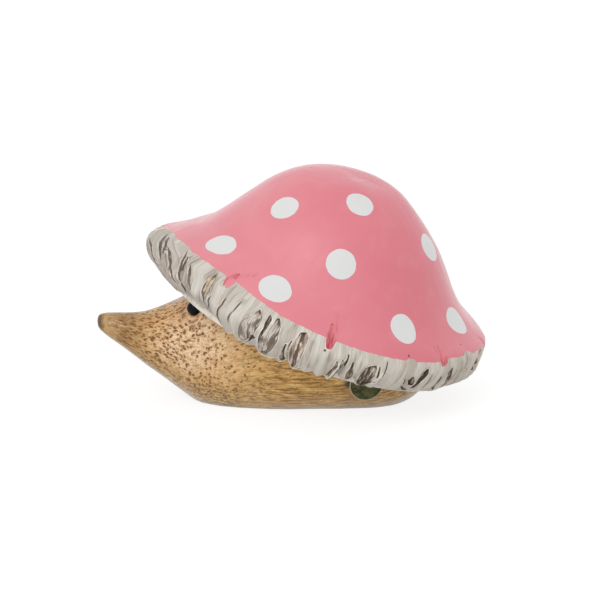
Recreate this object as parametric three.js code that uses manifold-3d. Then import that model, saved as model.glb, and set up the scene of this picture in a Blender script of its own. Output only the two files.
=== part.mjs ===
// Hedgehog figurine: a sanded bamboo-root animal that carries a carved and painted toadstool cap.
// Millimetres, +Z up, the nose toward -X, the base on Z = 0, the origin under the middle of the figure.
import * as THREE from "three";
import { mergeVertices } from "three/addons/utils/BufferGeometryUtils.js";
import Module from "manifold-3d";

const wasm = await Module();
wasm.setup();

// Clearance between glued or inserted pieces
const glueGap = 0.3;

// Root: one piece of bamboo root, sanded to a pointed head, a belly and a short tail
const rootLength = 129;
const rootHalfWidth = 35.5;
const rootHalfHeight = 29.5;
const rootMiddle = 25.5;
const noseX = -76.4;
const roundShare = 0.354;
const bellySquareness = 2.25;

// Sections of the root from nose to tail: place along it, height of the middle, half width and half height
const rootSections = [
  { along: 0, middle: 1.13, wide: 0, high: 0 },
  { along: 0.004, middle: 1.128, wide: 0.062, high: 0.073 },
  { along: 0.017, middle: 1.113, wide: 0.096, high: 0.115 },
  { along: 0.041, middle: 1.069, wide: 0.138, high: 0.165 },
  { along: 0.089, middle: 0.973, wide: 0.2, high: 0.244 },
  { along: 0.136, middle: 0.882, wide: 0.268, high: 0.33 },
  { along: 0.182, middle: 0.843, wide: 0.348, high: 0.428 },
  { along: 0.228, middle: 0.808, wide: 0.45, high: 0.553 },
  { along: 0.274, middle: 0.773, wide: 0.562, high: 0.675 },
  { along: 0.315, middle: 0.79, wide: 0.668, high: 0.776 },
  { along: 0.379, middle: 0.847, wide: 0.804, high: 0.89 },
  { along: 0.468, middle: 0.967, wide: 0.934, high: 0.993 },
  { along: 0.591, middle: 1, wide: 1, high: 1 },
  { along: 0.714, middle: 1, wide: 0.988, high: 1 },
  { along: 0.807, middle: 0.985, wide: 0.925, high: 0.985 },
  { along: 0.886, middle: 0.96, wide: 0.81, high: 0.89 },
  { along: 0.94, middle: 0.945, wide: 0.64, high: 0.73 },
  { along: 0.977, middle: 0.94, wide: 0.42, high: 0.5 },
  { along: 0.995, middle: 0.94, wide: 0.19, high: 0.23 },
  { along: 1, middle: 0.94, wide: 0, high: 0 },
];
const rootRings = 28;
const rootSides = 36;

// Cap: its place on the root, its tilt toward the tail and its lean toward the far side
const capRadius = 66.3;
const capHeight = 58.2;
const capNarrowing = 0.935;
const capTilt = 20.7;
const capLean = 6.8;
const capCentreX = 5.1;
const capCentreZ = 30;
const crownShift = -0.8;

// Outline of the cap from crown to lower edge, row by row, in shares of its size: its reach, its height,
// how much higher it lies at the rear and at the far side, and its extra reach at the rear
const capOutline = [
  [0, 1, 0, 0, 0],
  [0.21, 1, 0, 0, 0],
  [0.42, 0.871, -0.038, -0.031, 0],
  [0.6, 0.641, -0.003, -0.01, 0],
  [0.76, 0.376, 0.017, -0.022, 0],
  [0.88, 0.309, -0.01, -0.021, 0.046],
  [0.942, 0.22, 0.007, -0.029, 0.036],
  [1.03, 0.107, -0.012, -0.064, -0.068],
  [0.935, 0.005, -0.017, -0.041, 0.01],
  [0.88, 0, 0, 0, 0],
];
const paintEdge = 5.6;
const lowerEdge = capOutline.length - 1;
const edgeRadius = capOutline[lowerEdge][0] * capRadius;
const crownRings = 10;
const rimRings = 8;

// Rim: chisel pleats below the painted crown, and notches that they leave in the lower edge
const pleats = 36;
const sidesPerPleat = 3;
const pleatDepth = 1.1;
const notchRise = 1.2;

// Underside: a flat lip, then a shallow hollow whose flat floor is the seat of the root
const lipWidth = 4;
const hollowDepth = 4;
const hollowSlope = 4;

// Dots: raised paint on the crown, each by its turn from the rear and its place down the outline
const dotRadius = 5.6;
const paintThickness = 0.2;
const dotSides = 16;
const dots = [
  { turn: 267, down: 1.6 }, { turn: 221, down: 2.65 }, { turn: 340, down: 2.33 },
  { turn: 210, down: 4.12 }, { turn: 268, down: 3.12 }, { turn: 247, down: 4.45 },
  { turn: 341, down: 4.08 }, { turn: 302, down: 4.28 }, { turn: 85, down: 1.1 },
  { turn: 152, down: 2.15 }, { turn: 56, down: 2.7 }, { turn: 102, down: 2.9 },
  { turn: 16, down: 3.4 }, { turn: 157, down: 3.75 }, { turn: 46, down: 4.4 },
  { turn: 78, down: 4.4 }, { turn: 124, down: 4.4 },
];

// Eyes: ball beads with a flat seat and a shank, one on each side of the head
const eyeRadius = 2.6;
const eyeProud = 1;
const eyeSeatDepth = 0.5;
const eyeRings = 7;
const eyeShankRadius = 0.8;
const eyeShankLength = 5;
const eyeFromNose = 37.8;
const eyeRise = 51;

// Button: a plain domed metal stud with a prong, pressed into a pocket on the left flank
const buttonRadius = 6.3;
const buttonThickness = 0.8;
const buttonDome = 0.5;
const buttonProud = 0.3;
const prongRadius = 0.7;
const prongLength = 6;
const pocketMargin = 0.5;
const buttonFromNose = 100.6;
const buttonDrop = 23;
const buttonDownturn = 0.45;

// Dowels: two pegs across the glued joint between the root and the cap
const dowelRadius = 4;
const dowelLength = 22;
const dowelChamfer = 0.6;
const dowelSpacing = 34;
const dowelOffset = 6;

const radians = THREE.MathUtils.degToRad;

// Value of a smooth curve through the root's sections at a place along the root
function rootValue(key, along) {
  const last = rootSections.length - 1;
  let here = 0;
  while (here < last - 1 && rootSections[here + 1].along < along) here += 1;
  const slope = (index) => {
    const before = rootSections[Math.max(index - 1, 0)];
    const after = rootSections[Math.min(index + 1, last)];
    return (after[key] - before[key]) / (after.along - before.along);
  };
  const a = rootSections[here];
  const b = rootSections[here + 1];
  const span = b.along - a.along;
  const t = (along - a.along) / span;
  const start = (1 + 2 * t) * (1 - t) ** 2 * a[key] + t * (1 - t) ** 2 * span * slope(here);
  const end = t * t * (3 - 2 * t) * b[key] + t * t * (t - 1) * span * slope(here + 1);
  return start + end;
}

// Point of the root's skin: its section turns from round at the head to squarer at the belly
function rootPoint(along, turn) {
  const squarer = THREE.MathUtils.clamp((along - roundShare / 2) / roundShare, 0, 1);
  const power = 2 / THREE.MathUtils.lerp(2, bellySquareness, squarer);
  const across = Math.sign(Math.cos(turn)) * Math.abs(Math.cos(turn)) ** power;
  const up = Math.sign(Math.sin(turn)) * Math.abs(Math.sin(turn)) ** power;
  return new THREE.Vector3(
    noseX + along * rootLength,
    across * Math.max(rootValue("wide", along), 0) * rootHalfWidth,
    rootValue("middle", along) * rootMiddle + up * Math.max(rootValue("high", along), 0) * rootHalfHeight,
  );
}

// Row of the cap's outline: a uniform cubic spline that shares out each stretch among four rows
function capRow(down) {
  const mirrored = capOutline[1].map((value, column) => (column === 1 ? value : -value));
  const beyond = capOutline[lowerEdge].map((value, column) => 2 * value - capOutline[lowerEdge - 1][column]);
  const rows = [mirrored, ...capOutline, beyond];
  const stretch = Math.min(Math.floor(down), lowerEdge - 1);
  const t = down - stretch;
  const weights = [(1 - t) ** 3, 3 * t ** 3 - 6 * t ** 2 + 4, -3 * t ** 3 + 3 * t ** 2 + 3 * t + 1, t ** 3];
  return capOutline[0].map((_, column) => (
    weights.reduce((sum, weight, k) => sum + (weight / 6) * rows[stretch + k][column], 0)
  ));
}

// Point of the cap's outer skin in the cap's own frame, before carving
function capSkin(turn, down) {
  const [reach, height, rearRise, farRise, rearReach] = capRow(down);
  const radius = (Math.max(reach, 0) + rearReach * Math.cos(turn)) * capRadius;
  return new THREE.Vector3(
    radius * Math.cos(turn) + crownShift * (1 - Math.min(reach, 1) ** 2),
    radius * Math.sin(turn) * capNarrowing,
    (height + rearRise * Math.cos(turn) + farRise * Math.sin(turn)) * capHeight,
  );
}

function capNormal(turn, down) {
  const step = 0.02;
  const alongOutline = capSkin(turn, down + step).sub(capSkin(turn, down - step));
  const around = capSkin(turn + step, down).sub(capSkin(turn - step, down));
  return alongOutline.cross(around).normalize();
}

// Closed body from rings of equal count, with a point at each end; rings run so that faces point out
function closedBody(firstTip, rings, lastTip) {
  const sides = rings[0].length;
  const points = [firstTip, ...rings.flat(), lastTip];
  const index = [];
  const at = (ring, side) => 1 + ring * sides + (side % sides);
  for (let side = 0; side < sides; side += 1) {
    index.push(0, at(0, side), at(0, side + 1));
    for (let ring = 0; ring < rings.length - 1; ring += 1) {
      index.push(at(ring, side), at(ring + 1, side), at(ring + 1, side + 1));
      index.push(at(ring, side), at(ring + 1, side + 1), at(ring, side + 1));
    }
    index.push(at(rings.length - 1, side), points.length - 1, at(rings.length - 1, side + 1));
  }
  const geometry = new THREE.BufferGeometry().setFromPoints(points);
  geometry.setIndex(index);
  return geometry;
}

// Solid for joining and cutting, from a closed geometry
function toSolid(geometry) {
  const bare = new THREE.BufferGeometry();
  bare.setAttribute("position", geometry.getAttribute("position").clone());
  bare.setIndex(geometry.getIndex());
  const merged = mergeVertices(bare, 1e-4);
  return new wasm.Manifold(new wasm.Mesh({
    numProp: 3,
    vertProperties: new Float32Array(merged.getAttribute("position").array),
    triVerts: new Uint32Array(merged.getIndex().array),
  }));
}

function toGeometry(solid) {
  const mesh = solid.getMesh();
  const geometry = new THREE.BufferGeometry();
  geometry.setAttribute("position", new THREE.BufferAttribute(new Float32Array(mesh.vertProperties), 3));
  geometry.setIndex(new THREE.BufferAttribute(new Uint32Array(mesh.triVerts), 1));
  geometry.computeVertexNormals();
  return geometry;
}

// Turned piece about +Z from radius and height pairs that start and end on the axis, lowest first
function turned(profile, sides) {
  const points = profile.map(([radius, height]) => new THREE.Vector2(radius, height));
  return new THREE.LatheGeometry(points, sides).rotateX(Math.PI / 2);
}

function range(count) {
  return Array.from({ length: count }, (_, k) => k);
}

// Places: the cap's frame, and frames that stand on the root's skin with +Z outward. The downturn is
// the share of the skin's slope that a fitting keeps, as on a spot cut more upright than the skin
const capFrame = new THREE.Matrix4().makeRotationFromEuler(
  new THREE.Euler(radians(capLean), radians(capTilt), 0, "YXZ"),
).setPosition(capCentreX, 0, capCentreZ);

function skinFrame(along, turn, downturn = 1) {
  const step = 0.01;
  const lengthwise = rootPoint(along + step, turn).sub(rootPoint(along - step, turn));
  const around = rootPoint(along, turn + step).sub(rootPoint(along, turn - step));
  const out = around.cross(lengthwise);
  out.setZ(out.z * downturn).normalize();
  const turnOut = new THREE.Quaternion().setFromUnitVectors(new THREE.Vector3(0, 0, 1), out);
  return new THREE.Matrix4().makeRotationFromQuaternion(turnOut).setPosition(rootPoint(along, turn));
}

const eyeAlong = eyeFromNose / rootLength;
const eyeFrames = {
  eye_left: skinFrame(eyeAlong, Math.PI - radians(eyeRise)),
  eye_right: skinFrame(eyeAlong, radians(eyeRise)),
};
const buttonFrame = skinFrame(buttonFromNose / rootLength, Math.PI + radians(buttonDrop), buttonDownturn);
const dowelPlaces = {
  dowel_front: dowelOffset - dowelSpacing / 2,
  dowel_rear: dowelOffset + dowelSpacing / 2,
};

// Cap: skin rings with the rim's pleats, the flat lip, the hollow and the seat
function carvedPoint(turn, down) {
  const rim = THREE.MathUtils.clamp((down - paintEdge) / (lowerEdge - paintEdge), 0, 1);
  const cut = 0.5 - 0.5 * Math.cos(pleats * turn);
  const point = capSkin(turn, down);
  const inward = capNormal(turn, down).multiplyScalar(-pleatDepth * cut * Math.sin(Math.PI * rim ** 0.7));
  point.add(inward);
  point.z += notchRise * cut * rim ** 4;
  return point;
}

function undersideRing(inset, height, turns) {
  return turns.map((turn) => {
    const edge = capSkin(turn, lowerEdge);
    const size = Math.hypot(edge.x, edge.y);
    return new THREE.Vector3(edge.x * (1 - inset / size), edge.y * (1 - inset / size), height);
  });
}

const capTurns = range(pleats * sidesPerPleat).map((k) => (k * 2 * Math.PI) / (pleats * sidesPerPleat));
const crownRows = range(crownRings).map((k) => (paintEdge * (k + 0.6)) / (crownRings - 0.4));
const rimRows = range(rimRings).map((k) => paintEdge + ((lowerEdge - paintEdge) * (k + 1)) / rimRings);
const capShell = closedBody(
  capSkin(0, 0),
  [
    ...[...crownRows, ...rimRows].map((down) => capTurns.map((turn) => carvedPoint(turn, down))),
    undersideRing(lipWidth, 0, capTurns),
    undersideRing(lipWidth + hollowSlope, hollowDepth, capTurns),
  ],
  new THREE.Vector3(0, 0, hollowDepth),
);

// Paint coat: the crown's skin lifted by the thickness of the paint, which the dots are cut from
const coatRows = crownRows.slice(0, -1);
const coat = toSolid(closedBody(
  capSkin(0, 0).add(new THREE.Vector3(0, 0, paintThickness)),
  coatRows.map((down) => capTurns.map((turn) => (
    capSkin(turn, down).add(capNormal(turn, down).multiplyScalar(paintThickness))
  ))),
  new THREE.Vector3(0, 0, hollowDepth * 1.5),
));

function dotCutter({ turn, down }) {
  const facing = new THREE.Quaternion().setFromUnitVectors(
    new THREE.Vector3(0, 1, 0),
    capNormal(radians(turn), down),
  );
  const drum = new THREE.CylinderGeometry(dotRadius, dotRadius, dotRadius, dotSides);
  const place = capSkin(radians(turn), down);
  return toSolid(drum.applyQuaternion(facing).translate(place.x, place.y, place.z));
}

function dowelGeometry(clearance) {
  const radius = dowelRadius + clearance;
  const half = dowelLength / 2 + clearance;
  return turned([
    [0, -half], [radius - dowelChamfer, -half], [radius, -half + dowelChamfer],
    [radius, half - dowelChamfer], [radius - dowelChamfer, half], [0, half],
  ], 16);
}

let capSolid = toSolid(capShell);
for (const dot of dots) {
  capSolid = capSolid.add(coat.intersect(dotCutter(dot)));
}
for (const place of Object.values(dowelPlaces)) {
  capSolid = capSolid.subtract(toSolid(dowelGeometry(glueGap).translate(place, 0, hollowDepth)));
}

// Root: a skin of rings from tail to nose, cut flat for the base, for the cap's seat and for its fittings
const rootTurns = range(rootSides).map((k) => (k * 2 * Math.PI) / rootSides);
const rootStations = range(rootRings).map((k) => {
  const even = (k + 0.5) / rootRings;
  return 0.5 - 0.5 * Math.cos(Math.PI * even);
});
const rootShell = closedBody(
  rootPoint(1, 0),
  rootStations.toReversed().map((along) => rootTurns.map((turn) => rootPoint(along, turn))),
  rootPoint(0, 0),
);

const wide = 2 * (rootLength + capRadius);
const floorCutter = new THREE.BoxGeometry(wide, wide, wide).translate(0, 0, -wide / 2);

// What the cap's underside takes out of the root, lowered by the glue gap
const seatCutter = turned([
  [0, hollowDepth - glueGap],
  [edgeRadius - lipWidth - hollowSlope, hollowDepth - glueGap],
  [edgeRadius - lipWidth, -glueGap],
  [capRadius * 1.5, -glueGap],
  [capRadius * 1.5, wide],
  [0, wide],
], 72).scale(1, capNarrowing, 1).applyMatrix4(capFrame);

const eyeSocketRadius = Math.sqrt(eyeRadius ** 2 - eyeProud ** 2) + glueGap;
const eyeSocket = turned([
  [0, -eyeShankLength - glueGap], [eyeShankRadius + glueGap, -eyeShankLength - glueGap],
  [eyeShankRadius + glueGap, -eyeSeatDepth - glueGap], [eyeSocketRadius, -eyeSeatDepth - glueGap],
  [eyeSocketRadius, eyeRadius * 2], [0, eyeRadius * 2],
], 20);

const buttonSeat = buttonThickness - buttonProud + glueGap;
const buttonPocket = turned([
  [0, -buttonSeat - prongLength], [prongRadius + glueGap, -buttonSeat - prongLength],
  [prongRadius + glueGap, -buttonSeat], [buttonRadius + pocketMargin, -buttonSeat],
  [buttonRadius + pocketMargin, buttonRadius], [0, buttonRadius],
], 28);

let rootSolid = toSolid(rootShell).subtract(toSolid(floorCutter)).subtract(toSolid(seatCutter));
for (const frame of Object.values(eyeFrames)) {
  rootSolid = rootSolid.subtract(toSolid(eyeSocket.clone().applyMatrix4(frame)));
}
rootSolid = rootSolid.subtract(toSolid(buttonPocket.applyMatrix4(buttonFrame)));
for (const place of Object.values(dowelPlaces)) {
  const hole = dowelGeometry(glueGap).translate(place, 0, hollowDepth).applyMatrix4(capFrame);
  rootSolid = rootSolid.subtract(toSolid(hole));
}

// Fittings
const seatRise = -Math.asin((eyeProud + eyeSeatDepth) / eyeRadius);
const eyeRises = range(eyeRings).map((k) => THREE.MathUtils.lerp(seatRise, Math.PI / 2, k / eyeRings));
const eyeBead = turned([
  [0, -eyeShankLength], [eyeShankRadius, -eyeShankLength], [eyeShankRadius, -eyeSeatDepth],
  ...eyeRises.map((rise) => [eyeRadius * Math.cos(rise), eyeProud + eyeRadius * Math.sin(rise)]),
  [0, eyeProud + eyeRadius],
], 20);

const buttonStud = turned([
  [0, -prongLength], [prongRadius, 1 - prongLength], [prongRadius, 0],
  [buttonRadius, 0], [buttonRadius, buttonThickness * 0.8],
  [buttonRadius - buttonThickness * 0.4, buttonThickness],
  [buttonRadius * 0.6, buttonThickness + buttonDome * 0.7], [0, buttonThickness + buttonDome],
], 28).translate(0, 0, -buttonSeat + glueGap);

// Assembly
const bambooRoot = new THREE.MeshStandardMaterial({ color: "#c09a69", roughness: 0.55, metalness: 0 });
const pinkPaint = new THREE.MeshStandardMaterial({ color: "#e08b97", roughness: 0.4, metalness: 0 });
const blackGlass = new THREE.MeshStandardMaterial({ color: "#0b0b10", roughness: 0.1, metalness: 0 });
const agedBrass = new THREE.MeshStandardMaterial({ color: "#56553c", roughness: 0.45, metalness: 0.9 });
const paleWood = new THREE.MeshStandardMaterial({ color: "#d8b988", roughness: 0.7, metalness: 0 });

function piece(name, geometry, material, frame = new THREE.Matrix4()) {
  const mesh = new THREE.Mesh(geometry, material);
  mesh.name = name;
  mesh.applyMatrix4(frame);
  return mesh;
}

const capAssembly = new THREE.Group();
capAssembly.applyMatrix4(capFrame);
capAssembly.add(piece("toadstool_cap", toGeometry(capSolid), pinkPaint));
for (const [name, place] of Object.entries(dowelPlaces)) {
  capAssembly.add(piece(name, dowelGeometry(0).translate(place, 0, hollowDepth), paleWood));
}

const figurine = new THREE.Group();
figurine.add(piece("root_body", toGeometry(rootSolid), bambooRoot));
for (const [name, frame] of Object.entries(eyeFrames)) {
  figurine.add(piece(name, eyeBead, blackGlass, frame));
}
figurine.add(piece("metal_button", buttonStud, agedBrass, buttonFrame));
figurine.add(capAssembly);

// The origin goes under the middle of the whole figure
figurine.updateMatrixWorld(true);
const middle = new THREE.Box3().setFromObject(figurine, true).getCenter(new THREE.Vector3());
figurine.position.set(-middle.x, -middle.y, 0);

export default figurine;
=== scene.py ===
import math
import random

import bpy
import numpy as np
from mathutils import Matrix, Vector


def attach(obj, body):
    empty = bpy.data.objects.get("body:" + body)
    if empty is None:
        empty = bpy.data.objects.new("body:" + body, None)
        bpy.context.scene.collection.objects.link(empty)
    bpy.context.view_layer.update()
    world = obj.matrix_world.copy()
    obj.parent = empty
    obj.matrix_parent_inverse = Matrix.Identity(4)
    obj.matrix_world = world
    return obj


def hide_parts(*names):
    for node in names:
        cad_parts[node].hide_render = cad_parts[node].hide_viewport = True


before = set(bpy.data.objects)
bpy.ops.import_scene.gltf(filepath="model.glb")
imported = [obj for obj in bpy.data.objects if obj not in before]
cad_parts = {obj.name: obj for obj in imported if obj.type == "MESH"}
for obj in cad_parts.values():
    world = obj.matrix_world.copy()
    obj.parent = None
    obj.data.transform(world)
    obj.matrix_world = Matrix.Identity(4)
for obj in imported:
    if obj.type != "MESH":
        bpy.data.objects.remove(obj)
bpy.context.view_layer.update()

mm = 0.001

# Root body. One piece of bamboo root, sanded to a pointed snout, a round belly and a short tail, then
# varnished. Its underside is sanded flat to stand on, and its back is sawn flat on a slant for the cap.
nose_x = -76.4 * mm
# Moves every piece, so that the whole figurine stands round the origin of the frame
shift = Vector((3.5094, 0.8431, 0)) * mm

# Sections from nose to tail in mm: distance behind the nose, height of the middle, half width, half height
root_sections = [
    (0.3, 28.8, 1.5, 1.5), (1.2, 28.6, 3.1, 3.0), (4.3, 27.6, 4.7, 4.7), (11.4, 24.8, 7.1, 7.2),
    (17.5, 22.5, 9.5, 9.7), (23.5, 21.5, 12.4, 12.7), (29.5, 20.6, 16.0, 16.4), (35.3, 19.7, 20.0, 20.0),
    (40.6, 20.1, 23.8, 23.0), (48.9, 21.6, 28.6, 26.4), (60.3, 24.7, 33.2, 29.4), (76.2, 25.5, 35.6, 29.6),
    (92.1, 25.5, 35.2, 29.6), (104.1, 25.1, 33.0, 29.2), (114.3, 24.5, 29.0, 26.6), (121.3, 24.1, 23.0, 21.9),
    (126.0, 24.0, 15.2, 15.0), (128.4, 24.0, 6.8, 6.8), (129.0, 24.0, 2.5, 2.5),
]
root_sides = 32
belly_squareness = 2.25
sanding_depth = 0.7 * mm
drill_overshoot = 6 * mm

cap_tilt = math.radians(20.7)
cap_lean = math.radians(6.8)
cap_frame = Matrix.Translation(Vector((5.1, 0, 30)) * mm + shift) @ (
    Matrix.Rotation(cap_tilt, 4, "Y") @ Matrix.Rotation(cap_lean, 4, "X")
)
cap_axis = cap_frame.to_3x3() @ Vector((0, 0, 1))
hollow_depth = 4 * mm
glue_gap = 0.3 * mm


def start_piece():
    """Leave edit mode and select nothing, so that the next operator works on the next piece alone."""
    if bpy.context.object and bpy.context.object.mode != "OBJECT":
        bpy.ops.object.mode_set(mode="OBJECT")
    bpy.ops.object.select_all(action="DESELECT")


def name_piece(name):
    piece = bpy.context.object
    piece.name = name
    piece.data.name = name
    return piece


def turn_faces_out():
    bpy.ops.mesh.select_all(action="SELECT")
    bpy.ops.mesh.normals_make_consistent(inside=False)
    bpy.ops.object.mode_set(mode="OBJECT")


def apply_modifier(piece, kind, **settings):
    modifier = piece.modifiers.new(kind.lower(), kind)
    for key, value in settings.items():
        setattr(modifier, key, value)
    bpy.context.view_layer.objects.active = piece
    bpy.ops.object.modifier_apply(modifier=modifier.name)


def cut_with(piece, cutter):
    """Take the cutter's shape out of the piece, then drop the cutter."""
    apply_modifier(piece, "BOOLEAN", operation="DIFFERENCE", solver="MANIFOLD", object=cutter)
    bpy.data.objects.remove(cutter)


def drill(piece, place, radius, depth):
    """A round hole along the -Z of a place, down to the depth below it."""
    start_piece()
    bpy.ops.mesh.primitive_cylinder_add(vertices=48, radius=radius, depth=depth + drill_overshoot)
    cutter = bpy.context.object
    cutter.data.transform(place @ Matrix.Translation((0, 0, (drill_overshoot - depth) / 2)))
    cut_with(piece, cutter)


def smooth(piece, angle):
    start_piece()
    piece.select_set(True)
    bpy.context.view_layer.objects.active = piece
    bpy.ops.object.shade_smooth_by_angle(angle=math.radians(angle))


def read_points(piece):
    points = np.empty(len(piece.data.vertices) * 3)
    piece.data.vertices.foreach_get("co", points)
    return points.reshape(-1, 3)


def write_points(piece, points):
    piece.data.vertices.foreach_set("co", points.ravel())
    piece.data.update()


def store(piece, name, values):
    """Keep one number per vertex on the mesh for the material to read."""
    layer = piece.data.attributes.new(name, "FLOAT", "POINT")
    layer.data.foreach_set("value", np.asarray(values, np.float32))


start_piece()
upright = (0, math.pi / 2, 0)
bpy.ops.mesh.primitive_circle_add(vertices=root_sides, radius=1, fill_type="NGON", rotation=upright)
root = name_piece("sanded_bamboo_root")
bpy.ops.object.transform_apply(location=True, rotation=True, scale=True)
bpy.ops.object.mode_set(mode="EDIT")
bpy.ops.mesh.select_all(action="SELECT")
behind, middle, wide, high = root_sections[0]
bpy.ops.transform.resize(value=(1, wide * mm, high * mm))
bpy.ops.transform.translate(value=(nose_x + behind * mm, 0, middle * mm))
for last, here in zip(root_sections, root_sections[1:]):
    bpy.ops.mesh.extrude_region_move(
        TRANSFORM_OT_translate={"value": ((here[0] - last[0]) * mm, 0, (here[1] - last[1]) * mm)}
    )
    bpy.ops.transform.resize(
        value=(1, here[2] / last[2], here[3] / last[3]),
        center_override=(nose_x + here[0] * mm, 0, here[1] * mm),
    )
turn_faces_out()
apply_modifier(root, "SUBSURF", levels=3, render_levels=3)


def root_measures(points):
    """Distance behind the nose in mm, and the middle, half width and half height of the section there."""
    behind_nose = (points[:, 0] - nose_x) / mm
    table = np.array(root_sections)
    return behind_nose, *(np.interp(behind_nose, table[:, 0], table[:, column]) * mm for column in (1, 2, 3))


# The belly is pressed a little squarer than an oval, from the cheeks back
cheeks_behind = 23
belly_behind = 69
points = read_points(root)
behind_nose, middles, half_wide, half_high = root_measures(points)
outward = points[:, 1] / half_wide
upward = (points[:, 2] - middles) / half_high
reach = np.hypot(outward, upward) + 1e-9
power = np.interp(behind_nose, [cheeks_behind, belly_behind], [2, belly_squareness])
press = (np.abs(outward / reach) ** power + np.abs(upward / reach) ** power) ** (-1 / power)
points[:, 1] *= press
points[:, 2] = middles + (points[:, 2] - middles) * press
write_points(root, points)

# Hand sanding leaves the skin slightly uneven
sanding = bpy.data.textures.new("sanding", "CLOUDS")
sanding.noise_scale = 16 * mm
apply_modifier(root, "DISPLACE", texture=sanding, strength=sanding_depth, mid_level=0.55)
root.data.transform(Matrix.Translation(shift))

# Flat underside and sawn back
seat = cap_frame @ Vector((0, 0, hollow_depth - glue_gap))
for plane_point, plane_facing in (((0, 0, 0), (0, 0, -1)), (seat, cap_axis)):
    bpy.ops.object.mode_set(mode="EDIT")
    bpy.ops.mesh.select_all(action="SELECT")
    bpy.ops.mesh.bisect(plane_co=plane_point, plane_no=plane_facing, use_fill=True, clear_outer=True)
    bpy.ops.object.mode_set(mode="OBJECT")


def srgb(red, green, blue):
    """A colour written in screen values from 0 to 255, as the linear values that a shader takes."""
    def linear(value):
        value /= 255
        return value / 12.92 if value <= 0.04045 else ((value + 0.055) / 1.055) ** 2.4
    return linear(red), linear(green), linear(blue), 1.0


class Finish:
    """A material in the making: short calls that add a node, set its sockets and join it to others."""

    def __init__(self, name):
        self.material = bpy.data.materials.new(name)
        self.material.use_nodes = True
        self.tree = self.material.node_tree
        self.skin = self.tree.nodes["Principled BSDF"]

    def put(self, socket, value):
        if isinstance(value, bpy.types.NodeSocket):
            self.tree.links.new(value, socket)
        else:
            socket.default_value = value

    def node(self, kind, settings=None, **inputs):
        made = self.tree.nodes.new("ShaderNode" + kind)
        for key, value in (settings or {}).items():
            setattr(made, key, value)
        for key, value in inputs.items():
            self.put(made.inputs[key.replace("_", " ")], value)
        return made

    def place(self, scale=(1, 1, 1)):
        """Object coordinates in metres, stretched."""
        coordinates = self.node("TexCoord").outputs["Object"]
        return self.node("Mapping", Vector=coordinates, Scale=scale).outputs["Vector"]

    def value(self, name):
        return self.node("Attribute", {"attribute_name": name}).outputs["Fac"]

    def vector(self, x, y, z):
        return self.node("CombineXYZ", X=x, Y=y, Z=z).outputs["Vector"]

    def noise(self, vector, scale, detail=3.0, roughness=0.5):
        made = self.node("TexNoise", Vector=vector, Scale=scale, Detail=detail, Roughness=roughness)
        return made.outputs["Fac"]

    def wander(self, vector, scale, amount):
        """The place shifted by a slow noise, so that a pattern on it loses its regular shapes."""
        drift = self.node("TexNoise", Vector=vector, Scale=scale, Detail=1.0).outputs["Color"]
        made = self.node("VectorMath", {"operation": "MULTIPLY_ADD"})
        self.put(made.inputs[0], drift)
        self.put(made.inputs[1], (amount, amount, amount))
        self.put(made.inputs[2], vector)
        return made.outputs["Vector"]

    def cells(self, vector, scale):
        """Distance to the middle of the nearest of many scattered cells."""
        return self.node("TexVoronoi", Vector=vector, Scale=scale, Randomness=0.95).outputs["Distance"]

    def math(self, operation, first, second=0.0):
        made = self.node("Math", {"operation": operation})
        self.put(made.inputs[0], first)
        self.put(made.inputs[1], second)
        return made.outputs[0]

    def times(self, *values):
        product = values[0]
        for value in values[1:]:
            product = self.math("MULTIPLY", product, value)
        return product

    def band(self, value, low, high, to_low=0.0, to_high=1.0):
        """The value spread smoothly between two limits, which may run either way."""
        made = self.node("MapRange", {"interpolation_type": "SMOOTHSTEP"})
        for key, number in (("Value", value), ("From Min", low), ("From Max", high),
                            ("To Min", to_low), ("To Max", to_high)):
            self.put(made.inputs[key], number)
        return made.outputs["Result"]

    def mix(self, share, first, second):
        made = self.node("Mix", {"data_type": "RGBA"})
        for place, value in ((0, share), (6, first), (7, second)):
            self.put(made.inputs[place], value)
        return made.outputs[2]

    def coat(self, tone, colour, *shares):
        """The tone covered by a colour, as far as the product of the shares."""
        return self.mix(self.times(*shares), tone, srgb(*colour))

    def grazing(self, low, high):
        """A share that grows where the skin turns away from the eye."""
        return self.band(self.node("LayerWeight", Blend=0.5).outputs["Facing"], low, high)

    def distance(self, point):
        """Distance of each place from one point, in metres."""
        made = self.node("VectorMath", {"operation": "DISTANCE"})
        self.put(made.inputs[0], self.place())
        self.put(made.inputs[1], tuple(point))
        return made.outputs["Value"]

    def bump(self, height, distance, strength=1.0, below=None):
        made = self.node("Bump", Height=height, Distance=distance, Strength=strength)
        if below is not None:
            self.put(made.inputs["Normal"], below)
        return made.outputs["Normal"]

    def surface(self, **inputs):
        for key, value in inputs.items():
            self.put(self.skin.inputs[key.replace("_", " ")], value)
        return self.material


# The fibres of the root fan out from the snout. Sanding cuts them across on the cheeks, where they show as
# round pores, and at a slant elsewhere, which draws the pores out along the body and ends in streaks. So the
# pattern is stretched along the body by a share that goes by the distance behind the nose in mm
stretch_stations = [0, 14, 22, 44, 56, 76, 130]
stretches = [0.42, 0.5, 0.85, 1.0, 0.65, 0.4, 0.34]
steps = np.linspace(-5, 135, 281)
stretched = np.interp(steps[1:], stretch_stations, stretches) * np.diff(steps)
travelled = np.concatenate([[0], np.cumsum(stretched)])
fan_size = 26 * mm
points = read_points(root) - np.array(shift)
behind_nose, middles, half_wide, half_high = root_measures(points)
fan = (fan_size / np.sqrt(half_wide * half_high)) ** 0.55
store(root, "fibre_along", np.interp(behind_nose, steps, travelled) * mm)
store(root, "fibre_across", points[:, 1] * fan)
store(root, "fibre_up", (points[:, 2] - middles) * fan)
store(root, "behind_nose", behind_nose)
store(root, "low_on_side", (middles - points[:, 2]) / half_high)
in_cap_frame = (points + np.array(shift) - np.array(cap_frame.translation)) @ np.array(cap_frame.to_3x3())
store(root, "below_cap", -in_cap_frame[:, 2] / mm)

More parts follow.
